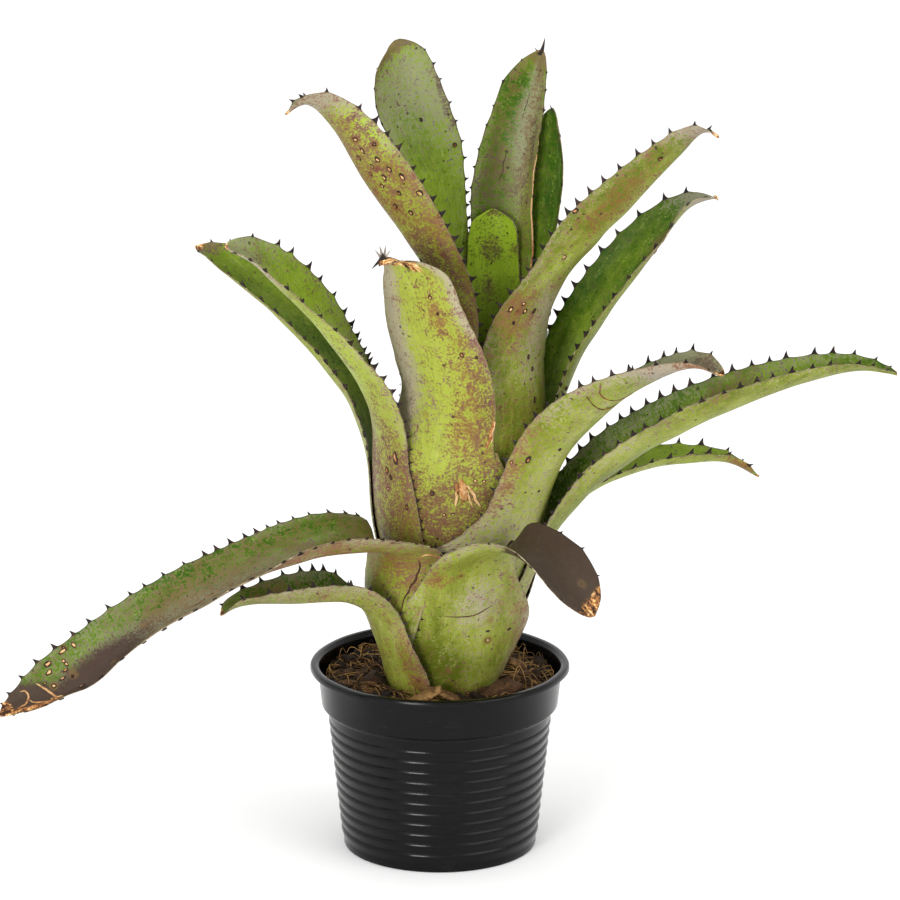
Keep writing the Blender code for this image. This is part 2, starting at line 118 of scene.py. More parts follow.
# Chips and fibres on the mix. A torn chip is about this wide and thick for each unit of its length.
# Crowds are the angles round which there are more of them, with their reach, in degrees.
CHIP_KINDS = 5
CHIP_WIDTH = 0.45
CHIP_THICKNESS = 0.2
CHIP_CROWDS = ((-160, 40), (-35, 30), (150, 60))
STRAND_POINTS = 10
STRAND_CROWDS = ((-165, 25), (-25, 20), (5, 15), (160, 20))
WIRY_EVERY = 30

# Seeds of what is strewn at random. The leaves' seeds follow on from theirs.
CHIP_SEED = 21
STRAND_SEED = 8
LEAF_SEED = 100

# The plant's axis and its short stem
AXIS_SLOPE = 0.04
AXIS_SHIFT = 16 * MM
AXIS_SHIFT_FROM = 190 * MM
AXIS_SHIFT_TO = 330 * MM
STEM_RADIUS = 13 * MM
STEM_TOP_RADIUS = 4 * MM

# Nesting of the sheaths: leaf 0 is the outermost and starts lowest
SHEATH_PITCH = 2.05 * MM
SHEATH_CLEARANCE = 1.5 * GAP
OUTER_RADIUS = 50 * MM
BASE_START = 64 * MM
BASE_STEP = 4.5 * MM
BULB_HEIGHT = 95 * MM
BULB_POWER = 0.8
FIRST_LEAVES_AT = 115 * MM
LAST_LEAVES_AT = 335 * MM
NECK_START = 235 * MM
NECK_END = 315 * MM
NECK_NARROWING = 23 * MM
SHEATH_BLEND_BELOW = 62 * MM
SHEATH_BLEND_ABOVE = 15 * MM
WIDEST_CLASP = 80
SLIMMEST_CHANNEL = 8 * MM
TIP_ROUNDING = 0.62
OPENING_SHARE = 0.34
TURN_SHARE = 0.5
SIDEWAYS_SHARE = 0.4
HOOK_SHARE = 0.84
CENTRELINE_STEP = 2 * MM

# How finely a leaf is divided
SHEATH_ROW = 2.5 * MM
BLADE_ROW = 1.1 * MM
COLUMNS = 28
TIP_CROWDING = 1.6
TIP_END = 0.9994
RIDGE_POINTS = 24

# Shares of a leaf's full thickness, the most that its blade is stained, and how far each leaf's
# pattern is shifted from the last
MARGIN_THICKNESS = 0.55
TIP_THICKNESS = 0.7
STAIN_MOST = 0.92
PATTERN_SHIFT = 0.61

# Spines, and the scallops between them, from some way down in the tank to short of the tip. The
# pairs give the places on the blade and, there, how far apart and how long the spines are, as
# shares of what the settings say.
SCALLOP_DEPTH = 0.42
SCALLOP_POWER = 2.4
SPINES_FROM = 75 * MM
SPINES_UP_TO = 4 * MM
SPINE_SPACINGS = ((-0.5, 0.0, 0.25, 0.6, 0.85, 1.0), (0.5, 0.62, 0.75, 1.1, 1.25, 0.6))
SPINE_SIZES = ((-0.6, 0.0, 0.25, 0.85, 1.0), (0.3, 0.6, 0.95, 1.0, 0.5))

# How the blades wave and how their margins ruffle, in a pattern laid out for one half width
PATTERN_HALF_WIDTH = 26 * MM
WAVE_LENGTH = 13 * MM
RUFFLE_LENGTH = 17 * MM
RUFFLE_HEIGHT = 1.3 * MM

# The tank is a little slimmer at the left than its solids, round one height
SLIMMER_BY = 5 * MM
SLIMMER_AT = 118 * MM
SLIMMER_REACH = 55 * MM
SLIMMER_FROM_AXIS = 24 * MM
SLIMMER_RISE = 26 * MM
SLIMMER_SHARE = 0.3

# The view that fits the photo, from straight in front. The lights are aimed at the same point.
VIEW_CENTRE = Vector((5.93, 0, 237.73)) * MM
VIEW_ELEVATION = 16.2
VIEW_DISTANCE = 3.5
LENS = 243.77

# Shares of the full spine length on leaves whose margins are nearly smooth
SMALL_SPINES = {
    "front_upright": 0.4, "front_drooping": 0.55, "back_tall": 0.55, "back_pointed": 0.55,
    "back_narrow": 0.6, "centre_young": 0.35, "low_left_long": 0.85,
}

Leaf = namedtuple(
    "Leaf", "name azimuth leaves_at length lean hook turn roll half_width channel clasp tip"
)

# From the outermost leaf to the innermost, as the solids have them. Azimuth is seen from above,
# 0 to the right and -90 to the front. leaves_at and length are in millimetres: where the blade
# leaves the tank, and how long it is from there. lean is its angle from upright at each quarter,
# hook the extra bend at its tip, turn how far its heading drifts and roll how far it tips over
# sideways. half_width is in millimetres, channel is the angle from the midrib to the margin,
# clasp the same at the sheath's base, and tip the power of its outline.
LEAVES = (
    Leaf("low_left_short", -142, 138, 109, (70, 86, 90, 94), 25, -16, 0, 22.5, 60, 40, 2.8),
    Leaf("low_left_long", -135, 166, 276, (97, 113, 120, 126), 0, -30, 30, 23.5, 42, 42, 4.0),
    Leaf("front_drooping", -78, 170, 102, (50, 100, 126, 140), 0, 60, -55, 27, 30, 78, 5.0),
    Leaf("back_low", 96, 160, 150, (45, 80, 105, 120), 0, 0, 0, 25, 45, 70, 3.2),
    Leaf("right_behind", 28, 156, 176, (52, 78, 92, 103), 15, -6, 0, 19.5, 55, 75, 2.6),
    Leaf("right_long", 2, 162, 258, (45, 63, 73, 87), 15, -2, 0, 29, 62, 75, 2.6),
    Leaf("right_middle", -30, 203, 180, (36, 49, 62, 76), 30, -8, 0, 27, 58, 85, 2.6),
    Leaf("back_right", 72, 205, 150, (35, 65, 90, 105), 0, 0, 0, 25, 50, 70, 3.0),
    Leaf("left_behind", 160, 215, 178, (30, 44, 56, 60), 0, 0, 15, 25, 55, 32, 3.4),
    Leaf("left_arching", -158, 236, 172, (27, 35, 43, 52), 15, 0, 35, 29, 55, 75, 3.0),
    Leaf("front_upright", -114, 250, 126, (13, 17, 19, 22), 110, -20, 0, 33, 52, 88, 4.5),
    Leaf("right_inner", 12, 243, 175, (26, 34, 42, 66), 15, 0, -20, 29, 58, 70, 2.4),
    Leaf("back_middle", 102, 240, 150, (35, 65, 88, 105), 0, 0, 0, 25, 50, 60, 3.2),
    Leaf("right_upper", -49, 294, 205, (35, 44, 44, 63), 50, 20, 0, 26.5, 55, 62, 2.4),
    Leaf("left_upper", -159, 300, 193, (21, 29, 37, 60), 65, 0, -20, 31, 48, 64, 2.4),
    Leaf("back_narrow", 47, 312, 121, (17, 13, 6, 2), 0, 0, 0, 19, 40, 60, 4.0),
    Leaf("back_pointed", 75, 318, 148, (6, 9, 12, 25), 0, -40, 0, 20.5, 40, 60, 3.2),
    Leaf("back_tall", 164, 322, 157, (6, 18, 20, 16), 0, 0, 46, 25, 35, 60, 7.0),
    Leaf("centre_young", 88, 335, 38, (2, 2, 4, 10), 0, 0, 0, 15.5, 35, 60, 7.0),
)
LAST = len(LEAVES) - 1

# Where the leaves depart from their solids' even curves. Along a blade, places run from 0 where it
# leaves the tank to 1 at its tip and are below 0 in the tank. Across it they run from -1 to 1, from
# margin to margin. A trim lets a margin out or draws it in: the margin, the place along, the reach
# and the millimetres. A pull moves the leaf: the place along and across, the reach along and across
# and the millimetres in x, y and z.
TRIMS = {
    "low_left_short": ((-1, 0.45, 0.4, 6),),
    "low_left_long": ((1, -0.26, 0.17, -24), (-1, 0.89, 0.07, 4)),
    "right_behind": ((-1, 0.8, 0.25, 4),),
    "right_middle": ((-1, 0.42, 0.3, 10), (-1, -0.15, 0.27, 19)),
    "left_arching": ((1, -0.28, 0.26, -10),),
    "left_behind": ((-1, 0.9, 0.15, 7),),
    "back_pointed": ((1, 0.55, 0.35, 7), (1, 0.88, 0.1, 6), (-1, 0.5, 0.35, -8)),
    "back_tall": ((-1, 0.85, 0.25, 4), (-1, 0.55, 0.1, 2), (1, 0.94, 0.05, 13), (1, 0.66, 0.08, -2)),
    "centre_young": ((1, 0.98, 0.08, -5), (-1, 0.98, 0.08, -5)),
    "right_inner": ((-1, 0.9, 0.15, -4),),
    "right_upper": ((-1, 0.28, 0.15, -9),),
    "front_upright": ((1, 0.7, 0.25, -5), (1, 1.0, 0.05, -24), (-1, 1.0, 0.05, -24)),
}
PULLS = {
    "low_left_short": (
        (1.0, 0.0, 0.3, 3.0, 0, 0, 4), (0.4, 0.8, 0.4, 0.8, 0, 0, 4),
        (-0.05, 1.0, 0.12, 0.5, -1, -6, 2),
    ),
    "low_left_long": (
        (0.2, 0.5, 0.13, 0.4, 0, 0, -8), (0.13, -1.0, 0.09, 0.9, 13, 8, 5),
        (0.06, 1.0, 0.08, 0.8, 20, 0, 9), (1.0, 0.0, 0.06, 3.0, 0, 0, 6),
        (0.8, 1.1, 0.08, 0.9, 0, 0, -5),
    ),
    "front_drooping": (
        (0.5, 1.0, 0.16, 0.9, 0, 0, 7), (0.25, -1.0, 0.15, 0.8, 0, 0, -7),
        (0.8, 1.0, 0.2, 0.9, 0, 0, 4), (1.0, 0.0, 0.12, 3.0, 4, 0, -4),
    ),
    "right_behind": ((1.0, 0.0, 0.1, 3.0, 1, 0, -5),),
    "right_long": ((0.5, 0.1, 0.4, 0.7, 2, 0, -5),),
    "front_upright": (
        (0.6, -1.0, 0.4, 0.8, -3, 0, 0), (0.92, 1.0, 0.08, 0.6, -7, 0, -4),
        (1.0, 0.0, 0.07, 3.0, -6, 0, 13), (0.9, 0.1, 0.08, 0.8, 0, 0, 5),
        (0.84, 1.0, 0.09, 0.5, 1, 0, 5),
    ),
    "back_tall": ((1.0, 0.0, 0.12, 3.0, 9, 0, 1),),
    "right_inner": ((0.92, -1.0, 0.1, 0.8, -3, 0, 5),),
    "right_upper": ((1.0, 0.0, 0.1, 3.0, -5, 0, 9),),
    "left_upper": ((0.6, -0.3, 0.3, 0.9, -6, 0, -4),),
}

# How each leaf has aged, from 0 to 1: how yellow its upper face and its underside are, how stained,
# how scarred, how grey with scurf, how dark its upper face is, and where it starts to be dry
AGES = {
    "low_left_short": (0.45, 0.5, 0.55, 0.25, 0.45, 0.0, 0.94),
    "low_left_long": (0.38, 0.6, 0.55, 0.1, 0.42, 0.0, 0.93),
    "front_drooping": (0.3, 0.75, 0.38, 0.15, 0.4, 1.0, 0.86),
    "back_low": (0.4, 0.5, 0.4, 0.15, 0.3, 0.0, 0.9),
    "right_behind": (0.75, 0.7, 0.25, 0.08, 0.2, 0.0, 0.95),
    "right_long": (0.3, 0.55, 0.32, 0.1, 0.35, 0.0, 0.98),
    "right_middle": (0.45, 0.65, 0.35, 0.12, 0.5, 0.0, 0.95),
    "back_right": (0.4, 0.5, 0.3, 0.1, 0.3, 0.0, 0.92),
    "left_behind": (0.65, 0.6, 0.25, 0.1, 0.25, 0.0, 0.95),
    "left_arching": (1.0, 0.6, 0.5, 0.18, 0.4, 0.0, 0.97),
    "front_upright": (0.6, 1.0, 0.45, 0.12, 0.32, 0.0, 0.87),
    "right_inner": (0.2, 0.35, 0.25, 0.08, 0.1, 0.0, 0.97),
    "back_middle": (0.4, 0.5, 0.3, 0.1, 0.3, 0.0, 0.92),
    "right_upper": (0.45, 0.38, 0.5, 0.15, 0.4, 0.0, 0.94),
    "left_upper": (0.6, 0.55, 0.6, 0.2, 0.45, 0.0, 0.97),
    "back_narrow": (0.2, 0.3, 0.35, 0.05, 0.0, 0.3, 0.98),
    "back_pointed": (0.55, 0.45, 0.45, 0.05, 0.35, 0.0, 0.97),
    "back_tall": (0.85, 0.55, 0.28, 0.05, 0.25, 0.0, 0.99),
    "centre_young": (1.0, 0.8, 0.15, 0.05, 0.0, 0.0, 0.99),
}

# Marks at their places on a leaf: the place along and across, the reach along and across, and the
# strength
PATCHES = {
    # The stain, dark and wine patches on the right half of its lower blade, the side turned from the light,
    # are partly its own purple-brown stain and partly painted shade.
    "front_upright": {
        "grey": ((0.5, -0.85, 0.6, 0.4, 1.9), (0.75, 1.0, 0.3, 0.2, 0.9)),
        "wine": (
            (-0.16, -0.6, 0.12, 0.4, 1.6), (-0.3, 0.3, 0.14, 0.5, 1.6), (-0.13, 0.4, 0.06, 0.3, 1.6),
            (0.2, 0.9, 0.4, 0.3, 0.5),
        ),
        "stain": (
            (-0.12, 0.4, 0.05, 0.2, 0.8), (0.25, 0.8, 0.35, 0.4, 0.7), (0.68, 0.38, 0.07, 0.2, 0.7),
            (0.45, 0.7, 0.05, 0.15, 0.7), (0.08, 0.5, 0.1, 0.3, 0.5), (-0.16, -0.45, 0.13, 0.3, 1.0),
            (-0.35, 0.25, 0.15, 0.4, 0.9), (-0.24, 0.35, 0.07, 0.35, 0.7),
        ),
        "dark": (
            (0.25, 0.85, 0.3, 0.35, 0.42), (-0.16, -0.6, 0.07, 0.2, 0.4), (1.0, 0.0, 0.05, 3.0, 1.2),
        ),
        "scars": ((-0.15, 0.5, 0.12, 0.25, 0.35),),
        "dry": ((0.9, 0.3, 0.06, 0.8, 0.5),),
    },
    "left_arching": {
        "wine": ((-0.05, 0.5, 0.2, 0.6, 0.8),),
        "grey": ((0.95, 0.0, 0.15, 1.5, 0.7), (0.0, -0.4, 0.4, 0.4, 0.7)),
        "stain": (
            (-0.05, 0.3, 0.2, 0.7, 0.5), (-0.35, 0.5, 0.25, 0.8, 0.6), (-0.05, 1.0, 0.1, 0.25, 0.8),
        ),
        "scars": ((0.0, 0.5, 0.12, 0.6, 0.4),),
        "under": ((0.0, 0.3, 0.3, 1.0, 0.4), (0.5, 0.4, 0.3, 0.9, 0.6)),
        "young": ((0.55, 0.0, 0.35, 1.5, 0.45),),
    },
    "left_behind": {
        "stain": ((0.97, -0.7, 0.05, 0.7, 1.0),),
        "grey": ((1.0, 0.2, 0.05, 1.0, 0.8),),
        "under": ((0.6, 0.0, 0.4, 1.0, 0.5),),
    },
    "left_upper": {
        "wine": ((0.3, 0.0, 0.1, 1.0, 0.5),),
        "dark": ((0.62, 0.4, 0.07, 0.5, 0.3),),
        "stain": (
            (0.27, 0.0, 0.2, 1.2, 0.8), (0.72, 0.1, 0.1, 0.45, 0.7), (0.55, 0.4, 0.1, 0.6, 0.4),
        ),
        "scars": ((0.62, 0.4, 0.09, 0.5, 0.6),),
        "young": ((0.76, 0.8, 0.1, 0.5, 0.6),),
        "under": ((0.3, 0.2, 0.3, 0.9, 0.5),),
        "grey": ((0.45, -0.8, 0.4, 0.4, 0.7), (0.98, 0.0, 0.09, 2.0, 2.0)),
    },
    "right_upper": {
        "stain": ((0.62, -0.2, 0.14, 0.5, 0.35), (0.16, -0.5, 0.07, 0.5, 0.8)),
        "scars": ((0.15, -0.5, 0.07, 0.4, 0.4),),
        "grey": ((0.15, 0.3, 0.2, 0.6, 0.6), (1.0, 0.0, 0.1, 2.0, 1.4)),
        "under": ((0.4, 0.4, 0.35, 0.6, 0.4), (-0.2, 0.2, 0.2, 0.8, 0.3)),
        "young": ((0.35, -0.3, 0.12, 0.5, 0.3),),
    },
    "right_inner": {
        "over": ((-0.05, 0.3, 0.2, 0.8, 0.5), (0.4, 0.0, 0.3, 0.8, 0.5)),
        "stain": ((-0.2, 0.2, 0.12, 0.7, 0.6), (0.74, -0.5, 0.08, 0.5, 1.0)),
        "grey": ((0.97, 0.0, 0.1, 2.0, 1.2),),
        "under": ((0.5, -0.5, 0.5, 0.8, 0.4),),
    },
    "right_middle": {
        "grey": ((-0.1, -0.2, 0.3, 0.8, 0.35), (0.88, 0.0, 0.13, 2.0, 1.9)),
        "stain": ((0.2, -0.95, 0.2, 0.25, 0.6), (0.92, 0.0, 0.08, 2.0, 0.7)),
        "under": ((0.0, -0.3, 0.4, 1.0, 0.3),),
        "scars": ((0.2, -0.7, 0.12, 0.4, 0.3),),
    },
    "right_long": {
        "stain": ((0.02, 0.2, 0.12, 1.0, 0.6), (0.66, 0.6, 0.08, 0.5, 0.6)),
        "under": ((0.5, 0.0, 0.5, 1.0, 0.15),),
        "over": ((0.75, 0.0, 0.25, 1.0, 0.4), (0.3, 0.0, 0.2, 1.0, -0.2)),
    },
    "right_behind": {
        "stain": ((0.0, 0.2, 0.15, 1.0, 0.6), (0.92, -0.4, 0.09, 0.9, 0.9)),
        "under": ((0.6, 0.0, 0.3, 1.0, 0.5),),
        "over": ((0.6, 0.0, 0.3, 1.0, 0.4),),
    },
    "low_left_long": {
        "grey": ((0.6, 0.5, 0.35, 0.8, 1.2),),
        "stain": (
            (0.5, 0.6, 0.25, 0.7, 0.7), (0.42, 0.2, 0.22, 1.0, 0.4), (0.1, -0.5, 0.07, 0.7, 0.7),
            (0.04, 0.8, 0.05, 0.5, 0.6),
        ),
        "dark": (
            (0.78, 0.8, 0.12, 1.15, 1.05), (0.96, -0.6, 0.04, 0.8, 0.7), (0.6, 0.2, 0.12, 0.6, 0.35),
            (0.95, 0.0, 0.06, 1.5, 0.6), (0.9, 0.1, 0.025, 0.6, 0.6),
        ),
        "dry": ((0.93, 0.75, 0.06, 0.3, 1.0),),
        "scars": ((0.8, 0.0, 0.08, 0.7, 0.5),),
    },
    "low_left_short": {
        "grey": ((0.5, 0.2, 0.35, 1.0, 0.35),),
        "stain": ((-0.25, 0.85, 0.25, 0.3, 0.9), (0.7, -0.4, 0.2, 0.5, 0.4)),
        "under": ((-0.5, 0.3, 0.25, 0.8, 0.6), (0.3, 0.0, 0.4, 1.0, 0.4)),
        "over": ((0.3, 0.0, 0.4, 1.0, -0.2),),
    },
    # The grey and stain patches low on the right of its bulb, the side turned from the light, are partly
    # its own brownish grey and partly painted shade.
    "front_drooping": {
        "grey": ((-0.08, 0.1, 0.16, 0.4, 0.65), (-0.4, 0.8, 0.4, 0.3, 0.4)),
        "under": ((-0.55, -0.3, 0.22, 0.5, -0.8),),
        "stain": (
            (0.1, -0.8, 0.08, 0.3, 0.6), (-0.8, 0.3, 0.15, 0.8, 0.3), (-0.3, 0.85, 0.4, 0.3, 0.5),
        ),
        "dark": ((0.42, -1.0, 0.06, 0.5, -1.2),),
    },
    "back_tall": {
        "stain": (
            (1.0, 0.0, 0.04, 2.0, 1.6), (0.8, 0.5, 0.2, 0.6, 0.3), (0.72, -1.0, 0.14, 0.16, 1.0),
            (0.93, 1.0, 0.07, 0.25, 0.8),
        ),
        "young": ((0.35, 0.0, 0.35, 0.9, 0.25),),
        "grey": ((0.8, 0.0, 0.25, 1.5, 0.7),),
    },
    "back_pointed": {
        "grey": ((0.7, -0.3, 0.35, 0.55, 1.1),),
        "stain": (
            (0.65, -0.6, 0.35, 0.4, 0.9), (0.5, 0.5, 0.3, 0.5, 0.4), (1.0, 0.0, 0.06, 2.0, 1.0),
        ),
        "dark": ((0.65, -0.75, 0.4, 0.35, 0.52), (0.6, 0.6, 0.35, 0.4, 0.46)),
        "over": ((0.5, -0.4, 0.4, 0.5, 0.5), (0.4, 0.5, 0.35, 0.5, -0.35)),
    },
    "centre_young": {
        "stain": (
            (0.4, 0.1, 0.2, 0.4, 1.0), (0.4, -0.8, 0.12, 0.3, 0.8), (1.0, 0.1, 0.1, 0.7, 1.6),
            (-0.2, 0.1, 0.25, 0.35, 0.8), (0.7, -0.4, 0.2, 0.4, 0.45),
        ),
        "young": ((0.6, 0.0, 0.9, 1.5, 0.85),),
    },
}
MARKS = ("edge", "over", "under", "young", "stain", "wine", "scars", "grey", "dark", "dry")

# Wounds that have healed to raised cork: the face they are on (1 the underside, -1 the upper), the
# place along and across, their length and width in millimetres, and how pale their heart is
WOUNDS = {
    "front_upright": (
        (1, 0.77, 0.4, 3.0, 1.9, 0.8), (1, 0.69, 0.45, 2.0, 1.4, 0.2),
        (1, 0.47, 0.62, 3.8, 2.2, 0.6), (1, 0.44, 0.86, 2.6, 2.0, 0.4),
        (1, 0.23, 0.35, 1.8, 1.8, 0.1), (1, 0.23, 0.85, 2.0, 1.8, 0.4),
        (1, -0.2, 0.08, 3.4, 3.2, 0.45), (1, -0.13, 0.57, 2.2, 2.0, 1.0),
        (1, -0.135, 0.67, 2.5, 2.2, 0.9), (1, -0.3, 0.2, 1.9, 1.8, 1.0),
        (1, -0.3, 0.28, 1.8, 1.9, 1.0),
    ),
    "left_arching": (
        (1, 0.05, 0.66, 8.5, 3.8, 0.7), (1, -0.01, 0.36, 4.2, 2.8, 0.6),
        (1, -0.03, 0.48, 3.6, 2.6, 0.4), (1, -0.12, 0.8, 3.2, 2.4, 0.5),
    ),
    "right_middle": (
        (1, 0.24, -0.72, 5.0, 2.8, 0.6), (1, 0.22, -0.95, 2.2, 1.9, 0.8),
        (1, -0.055, -0.28, 5.6, 4.4, 0.3), (1, -0.055, -0.28, 2.4, 1.8, 1.0),
        (1, 0.3, -0.3, 2.2, 1.8, 0.3), (1, 0.12, -0.2, 1.9, 1.7, 0.2),
    ),
    "right_upper": (
        (1, 0.17, -0.75, 4.2, 3.0, 0.9), (1, 0.17, -0.35, 3.6, 2.8, 0.8),
        (1, 0.17, -0.05, 3.6, 2.2, 0.3), (1, 0.13, -0.5, 2.6, 2.0, 0.2),
        (1, 0.03, 0.1, 3.2, 1.8, 0.3), (1, -0.01, 0.25, 3.0, 1.8, 0.4),
        (1, -0.1, 0.3, 4.2, 2.2, 0.4), (1, -0.16, 0.25, 4.0, 2.4, 0.4),
        (1, 0.52, -0.95, 4.4, 3.0, 0.7), (1, 0.8, -0.4, 3.4, 2.0, 0.5),
    ),
    "left_upper": (
        (1, 0.7, 0.3, 4.2, 2.4, 0.9), (1, 0.68, 0.1, 4.2, 2.2, 0.7), (1, 0.66, 0.5, 4.4, 2.8, 1.0),
        (1, 0.645, 0.3, 3.8, 2.6, 1.0), (1, 0.62, 0.15, 3.6, 2.4, 0.7),
        (1, 0.62, 0.6, 4.4, 2.4, 0.8), (1, 0.6, 0.4, 4.6, 2.8, 1.0), (1, 0.585, 0.75, 5.4, 2.8, 0.9),
        (1, 0.575, 0.25, 3.4, 2.4, 0.8), (1, 0.54, 0.5, 3.6, 2.4, 0.7),
        (1, 0.52, 0.88, 4.8, 4.0, 1.0), (1, 0.5, 0.25, 3.4, 2.6, 0.6), (1, 0.47, 0.5, 3.4, 3.0, 0.7),
        (1, 0.3, 0.0, 2.8, 2.4, 0.2), (1, 0.1, 0.05, 4.0, 2.2, 0.3),
    ),
    "right_inner": (
        (1, 0.76, -0.45, 3.6, 2.2, 0.7), (1, 0.72, -0.6, 3.4, 2.0, 0.5),
        (1, 0.2, -0.7, 2.8, 2.0, 0.4),
    ),
    "low_left_long": (
        (-1, 0.785, -0.75, 2.4, 4.0, 1.0), (-1, 0.81, -0.8, 6.0, 2.2, 1.0),
        (-1, 0.85, -0.75, 5.0, 3.6, 0.9), (-1, 0.857, -0.5, 4.6, 3.0, 0.95),
        (-1, 0.82, -0.52, 2.0, 3.0, 1.0), (-1, 0.818, -0.38, 2.0, 3.2, 0.9),
        (-1, 0.826, -0.22, 4.0, 1.8, 0.7), (-1, 0.84, -0.02, 4.6, 1.8, 0.8),
        (-1, 0.81, 0.75, 4.0, 1.6, 1.0), (-1, 0.876, -0.25, 2.4, 1.6, 0.7),
        (-1, 0.45, 0.3, 3.0, 1.8, 0.7),
    ),
    "front_drooping": ((1, -0.3, 0.55, 1.6, 3.2, 0.2), (1, -0.28, 0.25, 1.4, 3.0, 0.2)),
    "back_tall": ((-1, 0.55, -0.85, 3.0, 2.6, 0.4), (-1, 0.68, -0.3, 2.6, 2.0, 0.1)),
}

# One wound, 2 across and 1 high: a dish of cork in a swollen rim, as (radius, height) points
WOUND_POINTS = (
    (0.9, -0.5), (1.0, 0.1), (0.9, 0.62), (0.76, 0.7), (0.6, 0.5), (0.4, 0.36), (0.15, 0.42),
)

# Tears that have dried to ridges: the face, the places they run through, their width in millimetres
# and how pale they are
TEARS = {
    "front_upright": (
        (1, ((0.19, 0.98), (0.14, 0.95), (0.1, 0.93), (0.06, 0.86)), 2.2, 0.6),
        (1, ((0.18, 0.99), (0.14, 0.98), (0.09, 0.97)), 1.4, 0.9),
        (1, ((-0.12, 0.4), (-0.16, 0.41), (-0.2, 0.41), (-0.23, 0.42)), 5.5, 0.7),
        (1, ((-0.14, 0.36), (-0.17, 0.34), (-0.2, 0.35)), 2.4, 0.55),
        (1, ((-0.15, 0.37), (-0.2, 0.33), (-0.26, 0.31)), 1.9, 0.9),
        (1, ((-0.15, 0.4), (-0.2, 0.39), (-0.25, 0.38)), 1.5, 0.6),
        (1, ((-0.15, 0.43), (-0.2, 0.45), (-0.26, 0.46)), 1.5, 0.9),
        (1, ((-0.15, 0.46), (-0.2, 0.51), (-0.27, 0.54)), 1.9, 0.9),
    ),
    "low_left_long": (
        (1, ((0.07, 0.55), (0.08, 0.7), (0.07, 0.85), (0.05, 0.98)), 1.2, 0.65),
        (1, ((0.07, 0.55), (0.03, 0.53), (0.0, 0.5), (-0.06, 0.4)), 1.3, 0.25),
        (-1, ((0.895, -0.65), (0.885, -0.2), (0.877, 0.2), (0.87, 0.6), (0.85, 0.88)), 1.5, 0.75),
        (-1, ((0.935, -0.85), (0.92, -0.5), (0.922, -0.15), (0.94, 0.15), (0.96, 0.3)), 1.2, 0.7),
        (-1, ((0.925, 0.0), (0.915, 0.35), (0.9, 0.6), (0.88, 0.75)), 1.1, 0.75),
        (-1, ((0.85, 0.9), (0.88, 0.85), (0.92, 0.7), (0.96, 0.45)), 2.2, 0.55),
        (-1, ((0.55, 0.5), (0.5, 0.3), (0.45, 0.35)), 0.9, 0.5),
    ),
    "front_drooping": (
        (1, ((-0.16, -0.35), (-0.165, -0.15), (-0.16, 0.05), (-0.13, 0.22), (-0.1, 0.35)), 0.8, 0.3),
    ),
    "right_middle": (
        (1, ((0.62, -0.95), (0.585, -0.7), (0.58, -0.4), (0.6, 0.0), (0.66, 0.3)), 0.9, 0.5),
        (1, ((0.55, -0.8), (0.53, -0.5), (0.52, -0.2), (0.55, 0.2)), 0.8, 0.4),
    ),
    "back_pointed": (
        (-1, ((0.83, -0.02), (0.76, 0.02), (0.68, 0.08), (0.6, 0.1)), 0.9, 0.0),
        (-1, ((0.66, 0.25), (0.56, 0.3), (0.46, 0.35)), 0.7, 0.0),
        (-1, ((0.66, -1.0), (0.5, -1.0), (0.3, -1.0), (0.0, -1.0), (-0.1, -1.0)), 1.1, 0.8),
    ),
    "right_upper": ((1, ((-0.14, 0.45), (-0.2, 0.4), (-0.25, 0.38)), 1.2, 0.5),),
}

# Bare thorns left at withered tips: what they are, their place, the way they point and their length
# in millimetres
THORNS = {
    "front_upright": (
        ("horn", 0.995, 0.0, -0.8, -0.2, -0.6, 8), ("grey", 0.99, -0.3, -0.5, 0.0, 0.9, 6.5),
        ("grey", 0.985, -0.2, -0.12, 0.0, 1.0, 7.5), ("grey", 0.98, 0.0, 0.25, 0.0, 1.0, 7),
        ("grey", 0.975, 0.2, 0.6, 0.0, 0.7, 5.5),
    ),
    "back_pointed": (
        ("horn", 0.995, 0.0, 0.35, 0.0, 1.0, 8), ("horn", 0.985, 0.4, -0.5, 0.0, 0.8, 4),
    ),
    "back_narrow": (("horn", 0.99, 0.0, -0.3, 0.0, 1.0, 4),),
}

# One spine before it is flattened and hooked, as (radius, height) points
SPINE_POINTS = ((1.0, 0.0), (0.74, 0.12), (0.54, 0.28), (0.38, 0.5), (0.2, 0.78), (0.03, 1.0))

# Dry scales and larger chips at the plant's foot: where they lie in millimetres, how long, wide and
# thick they are, how far they slope to the right and how dry they are
FLAKES = (
    (-9, -46, 104, 19, 7, 2.2, -24, 0.8), (6, -46, 104, 18, 7, 2.2, 22, 0.6),
    (33, -34, 103, 17, 10, 5, -24, 0.4), (-50, -16, 101, 13, 7, 3, 8, 0.6),
    (-37, -16, 103, 9, 8, 5, 40, 0.2), (52, -4, 102, 11, 7, 3, 12, 0.5),
    (-57, 4, 101, 10, 6, 3, -20, 0.45), (45, 14, 103, 9, 6, 3, 25, 0.6),
)


def colour(code):
    """An sRGB hex colour as linear RGBA."""
    channels = [int(code[i : i + 2], 16) / 255 for i in (1, 3, 5)]
    return (*(c / 12.92 if c <= 0.04045 else ((c + 0.055) / 1.055) ** 2.4 for c in channels), 1.0)


def hue(name, description, code):
    return FloatVectorProperty(
        name=name, description=description, subtype="COLOR", size=4, min=0, max=1,
        default=colour(code),
    )


def length(name, description, default):
    return FloatProperty(
        name=name, description=description, subtype="DISTANCE", unit="LENGTH", min=0,
        default=default,
    )


def power(name, description, default):
    return FloatProperty(name=name, description=description, unit="POWER", default=default)


class PotSettings(PropertyGroup):
    """Sizes and colour of the nursery pot"""

    rim_diameter: length("Rim diameter", "Across the lip", POT_HIGH.x - POT_LOW.x)
    height: length("Height", "From the underside to the top of the lip", POT_HIGH.z)
    rib_count: IntProperty(name="Ribs", description="Ribs round the body", default=11, min=1)
    rib_depth: length("Rib depth", "From a rib's crest to its valley", 0.9 * MM)
    plastic: hue("Plastic", "Carbon black polypropylene", "#070708")


